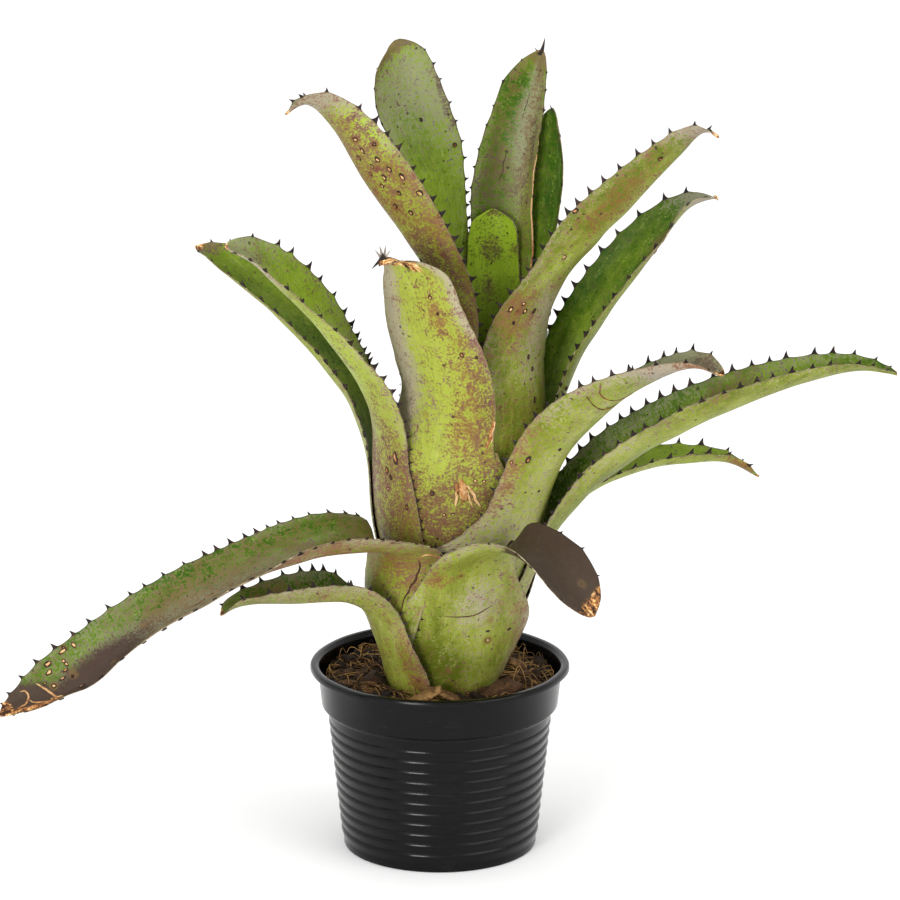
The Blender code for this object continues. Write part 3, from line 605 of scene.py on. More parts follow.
class MixSettings(PropertyGroup):
    """Amounts and colours of the husk mix"""

    chip_count: IntProperty(name="Chips", description="Husk chips on top", default=230, min=0)
    fibre_count: IntProperty(name="Fibres", description="Loose strands", default=760, min=0)
    damp: hue("Damp husk", "Darkest husk, in the gaps", "#150e09")
    husk: hue("Husk", "Middle brown of the chips", "#553a22")
    dry: hue("Dry husk", "Lightest chips and strands", "#ab8650")


class LeafSettings(PropertyGroup):
    """Sizes and colours of the leaves"""

    thickness: length("Thickness", "At the midrib", 1.0 * MM)
    spine_length: length("Spine length", "Of the longest spines", 3.2 * MM)
    spine_spacing: length("Spine spacing", "Between spines at mid blade", 10.5 * MM)
    deep: hue("Deep green", "Upper face of the darkest leaves", "#2c4c05")
    fresh: hue("Fresh green", "Upper face of the palest leaves", "#758a22")
    olive: hue("Olive", "Underside of the darkest leaves", "#505a14")
    lime: hue("Lime", "Underside of the palest leaves", "#8c9635")
    scurf: hue("Scurf", "Grey scales on old leaves", "#998a84")
    bruise: hue("Bruise", "Stained and aged tissue", "#74492a")
    wine: hue("Wine", "Stained tissue where it is reddest", "#633335")
    young: hue("Young green", "Where the leaves are tender", "#97b42a")
    scar: hue("Scar", "Corky middle of a scar", "#c9a676")
    dead: hue("Dead leaf", "Dried leaf tips", "#9c6836")
    horn: hue("Horn", "Spines", "#1a120f")


class StageSettings(PropertyGroup):
    """The plain studio around the plant"""

    floor_size: length("Floor size", "Side of the square floor", 14.0)
    floor: hue("Floor", "White painted board", "#fcfcfc")
    sky_strength: FloatProperty(name="Room light", description="Even white light", default=1.08)
    key_power: power("Key light", "Large soft box at the front left", 8)
    strip_power: power("Strip light", "Soft box low in front", 54)
    fill_power: power("Fill light", "Large soft box at the front right", 40)


# Modelling by hand


def clear_selection():
    if bpy.context.object and bpy.context.object.mode != "OBJECT":
        bpy.ops.object.mode_set(mode="OBJECT")
    bpy.ops.object.select_all(action="DESELECT")


def select(*objects):
    """Selects some objects alone and makes the first the active one."""
    clear_selection()
    for obj in objects:
        obj.select_set(True)
    bpy.context.view_layer.objects.active = objects[0]


def edit_all():
    bpy.ops.object.mode_set(mode="EDIT")
    bpy.ops.mesh.select_all(action="SELECT")


def turned(name, profile, segments):
    """A disc carried along a profile of (radius, height) points by extruding and resizing it."""
    clear_selection()
    radius, height = profile[0]
    bpy.ops.mesh.primitive_circle_add(
        vertices=segments, radius=radius, fill_type="NGON", location=(0, 0, height)
    )
    bpy.ops.object.transform_apply(location=True)
    obj = bpy.context.object
    obj.name = name
    edit_all()
    for (radius, height), (next_radius, next_height) in zip(profile, profile[1:]):
        rise = {"value": (0, 0, next_height - height)}
        bpy.ops.mesh.extrude_region_move(TRANSFORM_OT_translate=rise)
        grow = next_radius / radius
        bpy.ops.transform.resize(value=(grow, grow, 1), center_override=(0, 0, next_height))
    bpy.ops.mesh.select_all(action="SELECT")
    bpy.ops.mesh.normals_make_consistent(inside=False)
    bpy.ops.object.mode_set(mode="OBJECT")
    return obj


def places(mesh):
    """The places of a mesh's vertices as an array."""
    flat = np.zeros(3 * len(mesh.vertices))
    mesh.vertices.foreach_get("co", flat)
    return flat.reshape(-1, 3)


def set_places(mesh, points):
    mesh.vertices.foreach_set("co", np.asarray(points, float).ravel())
    mesh.update()


def set_mark(mesh, name, values):
    """Gives a mesh a mark, with one value for all its vertices or one for each."""
    attribute = mesh.attributes.new(name, "FLOAT", "POINT")
    attribute.data.foreach_set("value", np.full(len(mesh.vertices), values, np.float32))


def own_copy(template, matrix=None):
    """A copy of an object with its own mesh."""
    copy = template.copy()
    copy.data = template.data.copy()
    bpy.context.scene.collection.objects.link(copy)
    if matrix is not None:
        copy.matrix_world = matrix
    return copy


def standing(place, *ways):
    """The matrix that puts a template at a place, with its own axes along three vectors."""
    matrix = np.eye(4)
    matrix[:3] = np.stack([*ways, place], axis=1)
    return Matrix(matrix.tolist())


def join(objects, name):
    select(*objects)
    if len(objects) > 1:
        bpy.ops.object.join()
    joined = bpy.context.view_layer.objects.active
    bpy.ops.object.transform_apply(location=True, rotation=True, scale=True)
    joined.name = name
    return joined


def apply_modifiers(obj):
    select(obj)
    for modifier in list(obj.modifiers):
        bpy.ops.object.modifier_apply(modifier=modifier.name)


def shade(obj, angle):
    select(obj)
    bpy.ops.object.shade_smooth_by_angle(angle=math.radians(angle))


def settle(obj, slot, *nodes):
    """Ties a finished piece to the frame."""
    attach(obj, "root")
    if nodes:
        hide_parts(*nodes)


def remove(obj):
    mesh = obj.data
    bpy.data.objects.remove(obj)
    bpy.data.meshes.remove(mesh)


# Numbers along the leaves


def mix(first, second, share):
    return first + (second - first) * share


def smoothstep(value):
    value = np.clip(value, 0.0, 1.0)
    return value * value * (3 - 2 * value)


def bell(value):
    return np.exp(-(value**2))


def near_patch(shares, sides, along, across, reach_along, reach_across):
    """How near some points of a leaf are to the middle of a patch, from 0 to 1."""
    return bell((shares - along) / reach_along) * bell((sides - across) / reach_across)


def grain(points, size, seed=0.0):
    """Smooth noise from about -1 to 1 at each of some points."""
    return np.array([noise.noise(Vector(point) / size + Vector((seed,) * 3)) for point in points])


def axis_x(height):
    """How far right of the pot's centre the plant's axis stands at a height."""
    shift = smoothstep((height - AXIS_SHIFT_FROM) / (AXIS_SHIFT_TO - AXIS_SHIFT_FROM))
    return AXIS_SLOPE * height + AXIS_SHIFT * shift


def base_height(order):
    return BASE_START + BASE_STEP * order


def sheath_radius(order, height):
    """How far a leaf's sheath stands from the plant's axis. Sheaths nest, one pitch apart."""
    share = np.clip((height - base_height(order)) / BULB_HEIGHT, 0, 1)
    rise = np.sin(math.pi / 2 * share) ** BULB_POWER
    stem = mix(STEM_RADIUS, STEM_TOP_RADIUS, order / LAST)
    freed = LAST * np.clip((height - FIRST_LEAVES_AT) / (LAST_LEAVES_AT - FIRST_LEAVES_AT), 0, 1)
    neck = smoothstep((height - NECK_START) / (NECK_END - NECK_START))
    full = OUTER_RADIUS - SHEATH_PITCH * (order - freed) - NECK_NARROWING * neck
    return mix(stem + 0.5 * MM + SHEATH_CLEARANCE, full, rise)


def eased(knots, share):
    """A smooth curve through evenly spaced knots, read at a share of its length."""
    place = min(max(share, 0), 1) * (len(knots) - 1)
    i = min(int(place), len(knots) - 2)
    t = place - i
    p0, p1, p2, p3 = (knots[min(max(i + k, 0), len(knots) - 1)] for k in (-1, 0, 1, 2))
    return 0.5 * (
        2 * p1 + (p2 - p0) * t + (2 * p0 - 5 * p1 + 4 * p2 - p3) * t**2
        + (3 * p1 - p0 - 3 * p2 + p3) * t**3
    )


def outward(heading):
    return np.array((math.cos(heading), math.sin(heading), 0.0))


def unit(vectors):
    return vectors / np.linalg.norm(vectors, axis=-1, keepdims=True)


def between(spots_along, knots, vectors):
    """Vectors given at knots, read between them."""
    return np.stack([np.interp(spots_along, knots, column) for column in vectors.T], axis=-1)


class Blade:
    """A leaf's middle surface, as the solids have it: a centreline with channelled sections."""

    def __init__(self, leaf, order):
        self.leaf = leaf
        self.order = order
        self.follow_sheath()
        self.follow_blade()
        self.points, self.across, self.inward = map(np.array, (self.points, self.across, self.inward))
        self.total = self.runs[-1]

    def follow_sheath(self):
        """The part that lies in the tank: up along the nested sheaths."""
        start, end = base_height(self.order), self.leaf.leaves_at * MM
        steps = round((end - start) / CENTRELINE_STEP)
        out = outward(math.radians(self.leaf.azimuth))
        heights = np.linspace(start, end, steps + 1)
        radii = sheath_radius(self.order, heights)
        self.points = [
            out * radius + UP * height + (axis_x(height), 0, 0)
            for radius, height in zip(radii, heights)
        ]
        lengths = np.linalg.norm(np.diff(self.points, axis=0), axis=1)
        self.runs = [0.0, *np.cumsum(lengths)]
        self.across = [np.cross(UP, out)] * len(self.points)
        self.inward = [-out] * len(self.points)
        self.sheath_length = self.runs[-1]
        self.sheath_points = len(self.points)
        self.ring = radii[-1]

    def follow_blade(self):
        """The free part, stepped along by its lean and its heading, without twisting."""
        leaf = self.leaf
        steps = round(leaf.length * MM / CENTRELINE_STEP)
        stride = leaf.length * MM / steps
        last_step = unit(self.points[-1] - self.points[-2])
        out = outward(math.radians(leaf.azimuth))
        start_lean = math.degrees(math.atan2(last_step @ out, last_step[2]))
        across = self.across[-1]
        sideways = across * (last_step @ across)
        for i in range(1, steps + 1):
            share = (i - 0.5) / steps
            lean = eased((start_lean,) + leaf.lean, share)
            lean = math.radians(lean + leaf.hook * smoothstep((share - HOOK_SHARE) / (1 - HOOK_SHARE)))
            heading = math.radians(leaf.azimuth + leaf.turn * smoothstep(share / TURN_SHARE))
            step = outward(heading) * math.sin(lean) + UP * math.cos(lean)
            step = unit(step + sideways * (1 - smoothstep(share / SIDEWAYS_SHARE)))
            self.points.append(self.points[-1] + step * stride)
            self.runs.append(self.runs[-1] + stride)
            across = unit(across - step * (step @ across))
            normal = np.cross(step, across)
            inward = mix(-out, normal, smoothstep(share / OPENING_SHARE))
            inward = unit(inward - across * (inward @ across))
            roll = math.radians(leaf.roll) * smoothstep(share)
            self.inward.append(inward * math.cos(roll) + across * math.sin(roll))
            self.across.append(across * math.cos(roll) - inward * math.sin(roll))

    def share(self, runs):
        """Where distances lie on the free blade: below 0 in the sheath, 1 at the tip."""
        return (runs - self.sheath_length) / (self.total - self.sheath_length)

    def run(self, share):
        return self.sheath_length + share * (self.total - self.sheath_length)

    def ring_radius(self, runs):
        heights = np.interp(runs, self.runs[: self.sheath_points], self.points[: self.sheath_points, 2])
        return np.where(runs < self.sheath_length, sheath_radius(self.order, heights), self.ring)

    def half_width(self, runs):
        ring = self.ring_radius(runs)
        sheath = math.radians(self.leaf.clasp) * ring
        start = self.sheath_length - SHEATH_BLEND_BELOW
        blend = smoothstep((runs - start) / (SHEATH_BLEND_BELOW + SHEATH_BLEND_ABOVE))
        width = mix(sheath, self.leaf.half_width * MM, blend)
        width = np.minimum(width, math.radians(max(self.leaf.clasp, WIDEST_CLASP)) * ring)
        return width * (1 - np.clip(self.share(runs), 0, 1) ** self.leaf.tip) ** TIP_ROUNDING

    def let_out(self, runs, sides):
        """How much further the leaf reaches sideways where its margins are trimmed."""
        more = np.zeros(len(runs))
        for margin, along, reach, millimetres in TRIMS.get(self.leaf.name, ()):
            near = bell((self.share(runs) - along) / reach)
            more += np.where(sides * margin > 0, millimetres * MM * near, 0.0)
        return more * self.half_width(runs) / (self.leaf.half_width * MM)

    def pulled(self, runs, sides):
        """How far the leaf is pulled out of its even curve."""
        moved = np.zeros((len(runs), 3))
        for *patch, x, y, z in PULLS.get(self.leaf.name, ()):
            near = near_patch(self.share(runs), sides, *patch)
            moved += near[:, None] * np.array((x, y, z)) * MM
        return moved

    def lay(self, runs, sides):
        """Points at distances along the leaf and shares of its half width, with the directions
        outward across it and out of its underside."""
        centre = between(runs, self.runs, self.points)
        across = unit(between(runs, self.runs, self.across))
        inward = unit(between(runs, self.runs, self.inward))
        half = self.half_width(runs)
        channelled = np.maximum(half, SLIMMEST_CHANNEL) / math.radians(self.leaf.channel)
        opening = smoothstep(self.share(runs) / OPENING_SHARE)
        curl = mix(self.ring_radius(runs), channelled, opening)
        angle = (sides * (half + self.let_out(runs, sides)) / curl)[:, None]
        curl = curl[:, None]
        points = centre + inward * curl * (1 - np.cos(angle)) + across * curl * np.sin(angle)
        points += self.pulled(runs, sides)
        outer = (axis_x(points[:, 2]) - points[:, 0] - SLIMMER_FROM_AXIS) / SLIMMER_RISE
        near = smoothstep(outer) * bell((points[:, 2] - SLIMMER_AT) / SLIMMER_REACH)
        points[:, 0] += SLIMMER_BY * near * (1 - smoothstep(self.share(runs) / SLIMMER_SHARE))
        wide = across * np.cos(angle) + inward * np.sin(angle)
        under = across * np.sin(angle) - inward * np.cos(angle)
        return points, wide, under

    def stance(self, run, side):
        """One point of the leaf with the directions towards its tip, outward across it and out of
        its underside."""
        points, wide, under = self.lay(run + np.array((-1, 0, 1)) * MM, np.full(3, float(side)))
        return points[1], unit(points[2] - points[0]), wide[1], under[1]


# Shading


def feed(tree, node, feeds):
    for name, value in feeds.items():
        if isinstance(value, bpy.types.NodeSocket):
            tree.links.new(value, node.inputs[name])
        else:
            node.inputs[name].default_value = value


def add(tree, kind, feeds=None, out=0, ramp=(), **settings):
    """Adds a shader node with its settings, colour stops and feeds, and gives one of its outputs."""
    node = tree.nodes.new("ShaderNode" + kind)
    for name, value in settings.items():
        setattr(node, name, value)
    if ramp:
        stops = node.color_ramp.elements
        stops.remove(stops[-1])
        stops[0].position, stops[0].color = ramp[0]
        for place, tint in ramp[1:]:
            stops.new(place).color = tint
    feed(tree, node, feeds or {})
    return node.outputs[out]


def new_material(name):
    material = bpy.data.materials.new(name)
    material.use_nodes = True
    return material, material.node_tree, material.node_tree.nodes["Principled BSDF"]


def weighed(tree, patterns):
    """The weighted sum of some patterns."""
    total = 0.0
    for pattern, weight in patterns:
        total = add(tree, "Math", {0: pattern, 1: weight, 2: total}, operation="MULTIPLY_ADD")
    return total


def mask(tree, patterns, low, high, strength=1.0):
    """A mask that rises from low to high in the weighted sum of some patterns."""
    steps = {"Value": weighed(tree, patterns), "From Min": low, "From Max": high, "To Max": strength}
    return add(tree, "MapRange", steps, interpolation_type="SMOOTHSTEP")


def coats(tree, ground, layers):
    """Coats of colour over a ground, each through its mask."""
    for through, tint in layers:
        mixing = {0: through, 6: ground, 7: tint}
        ground = add(tree, "Mix", mixing, out=2, data_type="RGBA")
    return ground


def spots(tree, mm, cell, smallest, largest, chance):
    """Round spots in some cells of a given size: how far out of its spot a point lies, in
    radii, and 1 where the cell has a spot. chance is a socket or a number."""
    wobble = add(tree, "TexNoise", {"Vector": mm, "Scale": 0.9, "Detail": 2.0}, out="Color")
    moved = add(tree, "VectorMath", {0: wobble, 1: (1.6, 1.6, 0), 2: mm}, operation="MULTIPLY_ADD")
    cells = {"Vector": moved, "Scale": 1 / cell, "Randomness": 0.85}
    distance = add(tree, "TexVoronoi", cells, out="Distance")
    chosen = add(tree, "TexVoronoi", cells, out="Color")
    red, green = (add(tree, "SeparateColor", {0: chosen}, out=channel) for channel in (0, 1))
    sizes = {"Value": green, "To Min": smallest / cell, "To Max": largest / cell}
    out = add(tree, "Math", {0: distance, 1: add(tree, "MapRange", sizes)}, operation="DIVIDE")
    odds = add(tree, "Math", {0: chance, 1: red}, operation="SUBTRACT")
    return out, add(tree, "MapRange", {"Value": odds, "From Min": 0.0, "From Max": 0.05})


def ring(tree, out, present, inner, outer, soft, strength=1.0):
    """A mask for the part of spots between two radii."""
    past = add(tree, "MapRange", {"Value": out, "From Min": inner - soft, "From Max": inner})
    fall = {"Value": out, "From Min": outer, "From Max": outer + soft, "To Min": strength, "To Max": 0}
    both = add(tree, "Math", {0: past, 1: add(tree, "MapRange", fall)}, operation="MULTIPLY")
    return add(tree, "Math", {0: both, 1: present}, operation="MULTIPLY")


def surface(tree, shader, tint, roughness, specular, relief, depth, strength=1.0):
    """Feeds a surface's colour, roughness, gloss and relief to its shader."""
    bump = {"Height": relief, "Distance": depth, "Strength": strength}
    feed(tree, shader, {
        "Base Color": tint,
        "Roughness": roughness,
        "Specular IOR Level": specular,
        "Normal": add(tree, "Bump", bump),
    })


# What tells the two faces of a leaf apart: the mark for how yellow they are, colours and roughness
Skin = namedtuple("Skin", "tone dull bright pale shade scurf bruise wine speck dark margin roughness")


def leaf_skin(name, skin, settings):
    """Living leaf skin, waxy and lightly scurfy. It gives the eye a satin green with lengthwise
    veins, fine flecks, brown bruises, dark pores and corky scars, cream inside a dark ring."""
    material, tree, shader = new_material(name)
    uv = add(tree, "UVMap", uv_map="leaf")
    mm = add(tree, "VectorMath", {0: uv, "Scale": 1 / MM}, operation="SCALE")
    drawn, fibrous = (
        add(tree, "Mapping", {"Vector": mm, "Scale": (1.0, share, 1.0)}) for share in (0.35, 0.05)
    )
    marks = {mark: add(tree, "Attribute", out="Fac", attribute_name=mark) for mark in MARKS}
    grit, mid, wide = (
        add(
            tree, "TexNoise",
            {"Vector": mm, "Scale": 1 / size, "Detail": 4.0, "Roughness": 0.65, "Distortion": swirl},
        )
        for size, swirl in ((1.4, 0.0), (5.0, 0.5), (16, 0.8))
    )
    fleck, streak, flow = (
        add(tree, "TexNoise", {"Vector": drawn, "Scale": 1 / size, "Detail": 4.0, "Roughness": 0.62})
        for size in (1.5, 4.0, 26)
    )
    veins = add(tree, "TexNoise", {"Vector": fibrous, "Scale": 1 / 0.9, "Detail": 3.0})
    tone = mask(tree, [(marks[skin.tone], 1.0), (flow, 1.8), (mid, 1.2)], 1.45, 2.6)
    ground = coats(tree, skin.dull, [(tone, skin.bright)])
    scar = spots(tree, mm, 7.0, 0.8, 1.9, marks["scars"])
    pore = spots(tree, mm, 4.5, 0.3, 0.75, 0.6)
    dry = mask(tree, [(marks["dry"], 1.0), (mid, 0.5), (wide, 0.5)], 0.85, 1.05)
    reddest = mask(tree, [(marks["wine"], 0.5), (flow, 1.0), (mid, 0.6)], 0.72, 1.1)
    bruise = coats(tree, skin.bruise, [(reddest, skin.wine)])
    withered = add(
        tree, "ValToRGB", {0: mask(tree, [(streak, 0.6), (grit, 0.5)], 0.25, 0.85)},
        ramp=(
            (0.34, colour("#2f2018")), (0.45, colour("#6b4a33")), (0.55, settings.dead),
            (0.66, colour("#d9a566")), (0.74, colour("#e6cfa0")),
        ),
    )
    ground = coats(tree, ground, [
        (mask(tree, [(grit, 1.0), (streak, 0.7)], 0.87, 1.07, 0.6), skin.pale),
        (mask(tree, [(marks["young"], 1.0), (mid, 0.4), (grit, 0.3)], 0.4, 1.1, 0.9), settings.young),
        (mask(tree, [(grit, 1.2), (fleck, 0.7), (mid, 0.7), (wide, 0.7)], 1.6, 2.0, 0.62), skin.shade),
        (mask(tree, [(veins, 1.0)], 0.5, 0.75, 0.25), skin.shade),
        (
            mask(tree, [(marks["grey"], 0.42), (flow, 0.5), (grit, 1.3), (mid, 0.6)], 1.34, 1.6, 0.7),
            skin.scurf,
        ),
        (
            mask(tree, [(marks["stain"], 0.45), (grit, 1.3), (mid, 0.8), (wide, 0.5)], 1.52, 1.78, 0.8),
            bruise,
        ),
        (mask(tree, [(fleck, 0.8), (grit, 1.0), (mid, 0.9)], 1.52, 1.7, 0.6), skin.speck),
        (ring(tree, *pore, 0.0, 1.0, 0.5, 0.8), skin.speck),
        (
            mask(tree, [(marks["dark"], 1.0), (mid, 0.3), (flow, 0.2), (grit, 0.6)], 0.85, 1.25, 0.95),
            skin.dark,
        ),
        (ring(tree, *scar, 0.0, 1.6, 1.0, 0.7), bruise),
        (ring(tree, *scar, 0.0, 1.0, 0.25), colour("#2c1811")),
        (ring(tree, *scar, 0.0, 0.5, 0.2), settings.scar),
        (mask(tree, [(marks["edge"], 1.0), (grit, 0.05)], 0.985, 1.03, 0.8), skin.margin),
        (dry, withered),
    ])
    swollen = ring(tree, *scar, 0, 0.7, 0.5)
    relief = weighed(tree, [(grit, 0.2), (mid, 0.5), (veins, 0.12), (swollen, 0.25)])
    gloss = mask(tree, [(grit, 0.6), (mid, 0.4), (dry, 0.3)], 0.35, 0.75, 0.3)
    gloss = add(tree, "Math", {0: gloss, 1: skin.roughness}, operation="ADD")
    surface(tree, shader, ground, gloss, 0.11, relief, 1 * MM, 0.9)
    return material


def wound_cork(settings):
    """Wound cork, dried open: matt, from a dark rim to an orange or cream heart."""
    material, tree, shader = new_material("wound_cork")
    place = add(tree, "TexCoord", out="Object")
    heart = add(tree, "Attribute", out="Fac", attribute_name="heart")
    crumb = add(tree, "TexNoise", {"Vector": place, "Scale": 1 / (1.2 * MM), "Detail": 3.0})
    tint = add(
        tree, "ValToRGB", {0: mask(tree, [(heart, 1.0), (crumb, 0.7)], 0.3, 1.4)},
        ramp=(
            (0.0, colour("#2a1a13")), (0.34, colour("#4a2b1c")), (0.68, colour("#9a6636")),
            (0.98, settings.scar),
        ),
    )
    surface(tree, shader, tint, 0.75, 0.25, crumb, 0.4 * MM)
    return material


def horn(name, ground, light):
    """Hard margin and spine tissue: satin, which gives the eye a brown-black with lighter flecks."""
    material, tree, shader = new_material(name)
    place = add(tree, "TexCoord", out="Object")
    mottle = add(tree, "TexNoise", {"Vector": place, "Scale": 1 / (2.5 * MM), "Detail": 3.0})
    tint = coats(tree, ground, [(mask(tree, [(mottle, 1.0)], 0.5, 0.68, 0.8), light)])
    surface(tree, shader, tint, 0.45, 0.15, mottle, 0.1 * MM)
    return material


def polypropylene(settings):
    """Moulded polypropylene with carbon black: a satin skin with faint dust and scuffs."""
    material, tree, shader = new_material("moulded_polypropylene")
    place = add(tree, "TexCoord", out="Object")
    round_way = add(tree, "Mapping", {"Vector": place, "Scale": (1.0, 1.0, 5.0)})
    cloud, scuff, pit = (
        add(tree, "TexNoise", {"Vector": way, "Scale": 1 / (size * MM), "Detail": detail})
        for way, size, detail in ((place, 30, 4.0), (round_way, 6, 6.0), (place, 0.8, 2.0))
    )
    tint = coats(tree, settings.plastic, [
        (mask(tree, [(cloud, 0.6), (scuff, 0.6)], 0.6, 0.85, 0.3), colour("#1d1d1d")),
        (mask(tree, [(scuff, 1.0), (pit, 0.5)], 0.98, 1.1, 0.3), colour("#4a4743")),
    ])
    gloss = mask(tree, [(scuff, 0.5), (cloud, 0.5)], 0.3, 0.7, 0.14)
    gloss = add(tree, "Math", {0: gloss, 1: 0.12}, operation="ADD")
    surface(tree, shader, tint, gloss, 0.15, pit, 0.03 * MM)
    return material


def coir(name, settings):
    """Coconut husk: torn fibrous chips, matt, from damp dark brown to dry orange-tan."""
    material, tree, shader = new_material(name)
    place = add(tree, "TexCoord", out="Object")
    shade_mark = add(tree, "Attribute", out="Fac", attribute_name="shade")
    cloud = add(tree, "TexNoise", {"Vector": place, "Scale": 1 / (5 * MM), "Detail": 5.0})
    split = add(tree, "Mapping", {"Vector": place, "Rotation": (0.3, 0.5, 0.6), "Scale": (0.2, 1, 1)})
    fibre = add(tree, "TexNoise", {"Vector": split, "Scale": 1 / (0.8 * MM), "Detail": 4.0})
    blend = mask(tree, [(shade_mark, 1.0), (cloud, 0.7), (fibre, 0.9)], 0.65, 1.8)
    blend.node.interpolation_type = "LINEAR"
    tint = add(
        tree, "ValToRGB", {0: blend},
        ramp=((0.0, settings.damp), (0.35, colour("#2f1f12")), (0.62, settings.husk), (1.0, settings.dry)),
    )
    relief = add(tree, "Math", {0: fibre, 1: 1.2, 2: cloud}, operation="MULTIPLY_ADD")
    surface(tree, shader, tint, 0.88, 0.25, relief, 0.6 * MM)
    return material


def stem_tissue():
    """Pale plant tissue: matt, with faint brown leaf scars round it."""
    material, tree, shader = new_material("stem_tissue")
    place = add(tree, "TexCoord", out="Object")
    rings = add(tree, "Mapping", {"Vector": place, "Scale": (0.3, 0.3, 1.0)})
    scars = add(tree, "TexNoise", {"Vector": rings, "Scale": 1 / (3 * MM), "Detail": 4.0})
    tint = add(
        tree, "ValToRGB", {0: scars},
        ramp=((0.35, colour("#6d4f2f")), (0.5, colour("#a39a68")), (0.65, colour("#c3bd8d"))),
    )
    surface(tree, shader, tint, 0.7, 0.5, scars, 0.5 * MM)
    return material


# Pot


def pot_profile(settings):
    """The wall's outline as (radius, height) points, from the underside out and up over the lip
    and down the inside to the floor."""
    rim, top = settings.rim_diameter / 2, settings.height
    foot, band_foot = rim - FOOT_INSET, top - BAND_FOOT_DROP
    ribs_to = band_foot - RIBS_SHORT_OF_BAND
    pitch = (ribs_to - RIBS_FROM) / settings.rib_count
    outline = [
        (foot - FOOT_CHAMFER - 0.6 * MM, 0.0),
        (foot - FOOT_CHAMFER, 0.1 * MM),
        (foot - 0.35 * MM, 0.35 * FOOT_CHAMFER),
        (foot, FOOT_CHAMFER),
        (foot, RIBS_FROM - 1.2 * MM),
    ]
    for rib in range(settings.rib_count):
        for share, reach in RIB_POINTS:
            height = RIBS_FROM + pitch * (rib + share)
            wall = mix(foot, rim - BODY_TOP_INSET, height / band_foot)
            outline.append((wall + settings.rib_depth * reach, height))
    outline.append((rim - 10.6 * MM, ribs_to + 0.5 * MM))
    for points, edge, level in (
        (STEP_POINTS, rim, band_foot),
        (LIP_POINTS, rim, top),
        (INNER_STEP_POINTS, rim - WALL, band_foot),
    ):
        outline += [(edge - inwards * MM, level + upwards * MM) for inwards, upwards in points]
    return outline + [
        (foot - 0.4 * MM - WALL, FLOOR + FLOOR_CORNER),
        (foot - 1.2 * MM - WALL, FLOOR + 0.6 * MM),
        (foot - FLOOR_CORNER - WALL - 0.6 * MM, FLOOR),
    ]


class HOHENBERGIA_OT_pot(Operator):
    """Thin moulded pot with a rolled lip, a stepped band, rounded ribs and drain holes"""

    bl_idname = "hohenbergia.pot"
    bl_label = "Nursery pot"

    def execute(self, context):
        settings = context.scene.hohenbergia_pot
        pot = turned("nursery_pot", pot_profile(settings), POT_SEGMENTS)
        points = places(pot.data)
        lip = smoothstep((points[:, 2] - settings.height + LIP_WAVES_FROM) / LIP_WAVES_OVER)
        around = unit(points * (1, 1, 0) + (1e-9, 0, 0))
        points += around * (lip * grain(around, 0.3) * LIP_WAVE)[:, None]
        points[:, 2] += lip * grain(around, 0.5, 4.0) * LIP_RISE
        set_places(pot.data, points)
        foot = settings.rim_diameter / 2 - FOOT_INSET
        clear_selection()
        drills = []
        for hole in range(DRAIN_COUNT):
            spot = outward(2 * math.pi * (hole + 0.5) / DRAIN_COUNT) * DRAIN_RING * foot
            bpy.ops.mesh.primitive_cylinder_add(
                vertices=24, radius=DRAIN_RADIUS, depth=6 * FLOOR, location=spot
            )
            drills.append(context.object)
        drill = join(drills, "drill")
        holes = pot.modifiers.new("drain holes", "BOOLEAN")
        holes.object = drill
        holes.solver = "EXACT"
        apply_modifiers(pot)
        remove(drill)
        pot.data.materials.clear()
        pot.data.materials.append(polypropylene(settings))
        shade(pot, 32)
        settle(pot, "pot_plastic", "pot")
        return {"FINISHED"}


# Husk mix


def bed_lumps(points):
    """How far the mix's top rises at some places."""
    flat = points * (1, 1, 0)
    return 3.0 * MM * grain(flat, 14 * MM) + 1.4 * MM * grain(flat, 5 * MM, 9.0)


def bed_shift(radius):
    """The bowl round the plant's foot stands on the plant's axis, the wall on the pot's."""
    return axis_x(MIX_TOP) * (1 - smoothstep((radius - BOWL_RADIUS) / BOWL_REACH))


class HOHENBERGIA_OT_husk_bed(Operator):
    """Plug of husk mix that fills the pot, lumpy on top, with a bowl for the plant's foot"""

    bl_idname = "hohenbergia.husk_bed"
    bl_label = "Husk bed"

    def execute(self, context):
        pot = context.scene.hohenbergia_pot
        rim, band_foot = pot.rim_diameter / 2, pot.height - BAND_FOOT_DROP
        wall = rim - BAND_INSET - WALL - GAP
        foot = rim - FOOT_INSET - WALL - 2 * GAP
        outline = [
            (foot - FLOOR_CORNER, FLOOR + GAP),
            (foot, FLOOR + FLOOR_CORNER + GAP),
            (rim - BODY_TOP_INSET - WALL - 3 * GAP, band_foot),
            (wall - GAP, band_foot + BAND_STEP),
            (wall, MIX_TOP - MIX_EDGE_DROP),
            (wall - 1 * MM, MIX_TOP - 0.5 * MIX_EDGE_DROP),
        ]
        outline += [(radius * MM, MIX_TOP) for radius in range(64, 41, -2)]
        for height in BOWL_HEIGHTS:
            outline.append((float(sheath_radius(0, height * MM)) + BOWL_CLEARANCE, height * MM))
        bed = turned("husk_bed", outline, BED_SEGMENTS)
        points = places(bed.data)
        radii = np.linalg.norm(points[:, :2], axis=1)
        points[:, 0] += np.where(points[:, 2] > SHIFTED_ABOVE, bed_shift(radii), 0.0)
        top = smoothstep((points[:, 2] - MIX_TOP + 8 * MM) / (6 * MM))
        top *= smoothstep((wall - radii) / (3 * MM))
        points[:, 2] += top * bed_lumps(points)
        set_places(bed.data, points)
        set_mark(bed.data, "shade", 0.12)
        bed.data.materials.append(coir("coir_bed", context.scene.hohenbergia_mix))
        shade(bed, 60)
        settle(bed, "husk", "husk_mix")
        return {"FINISHED"}


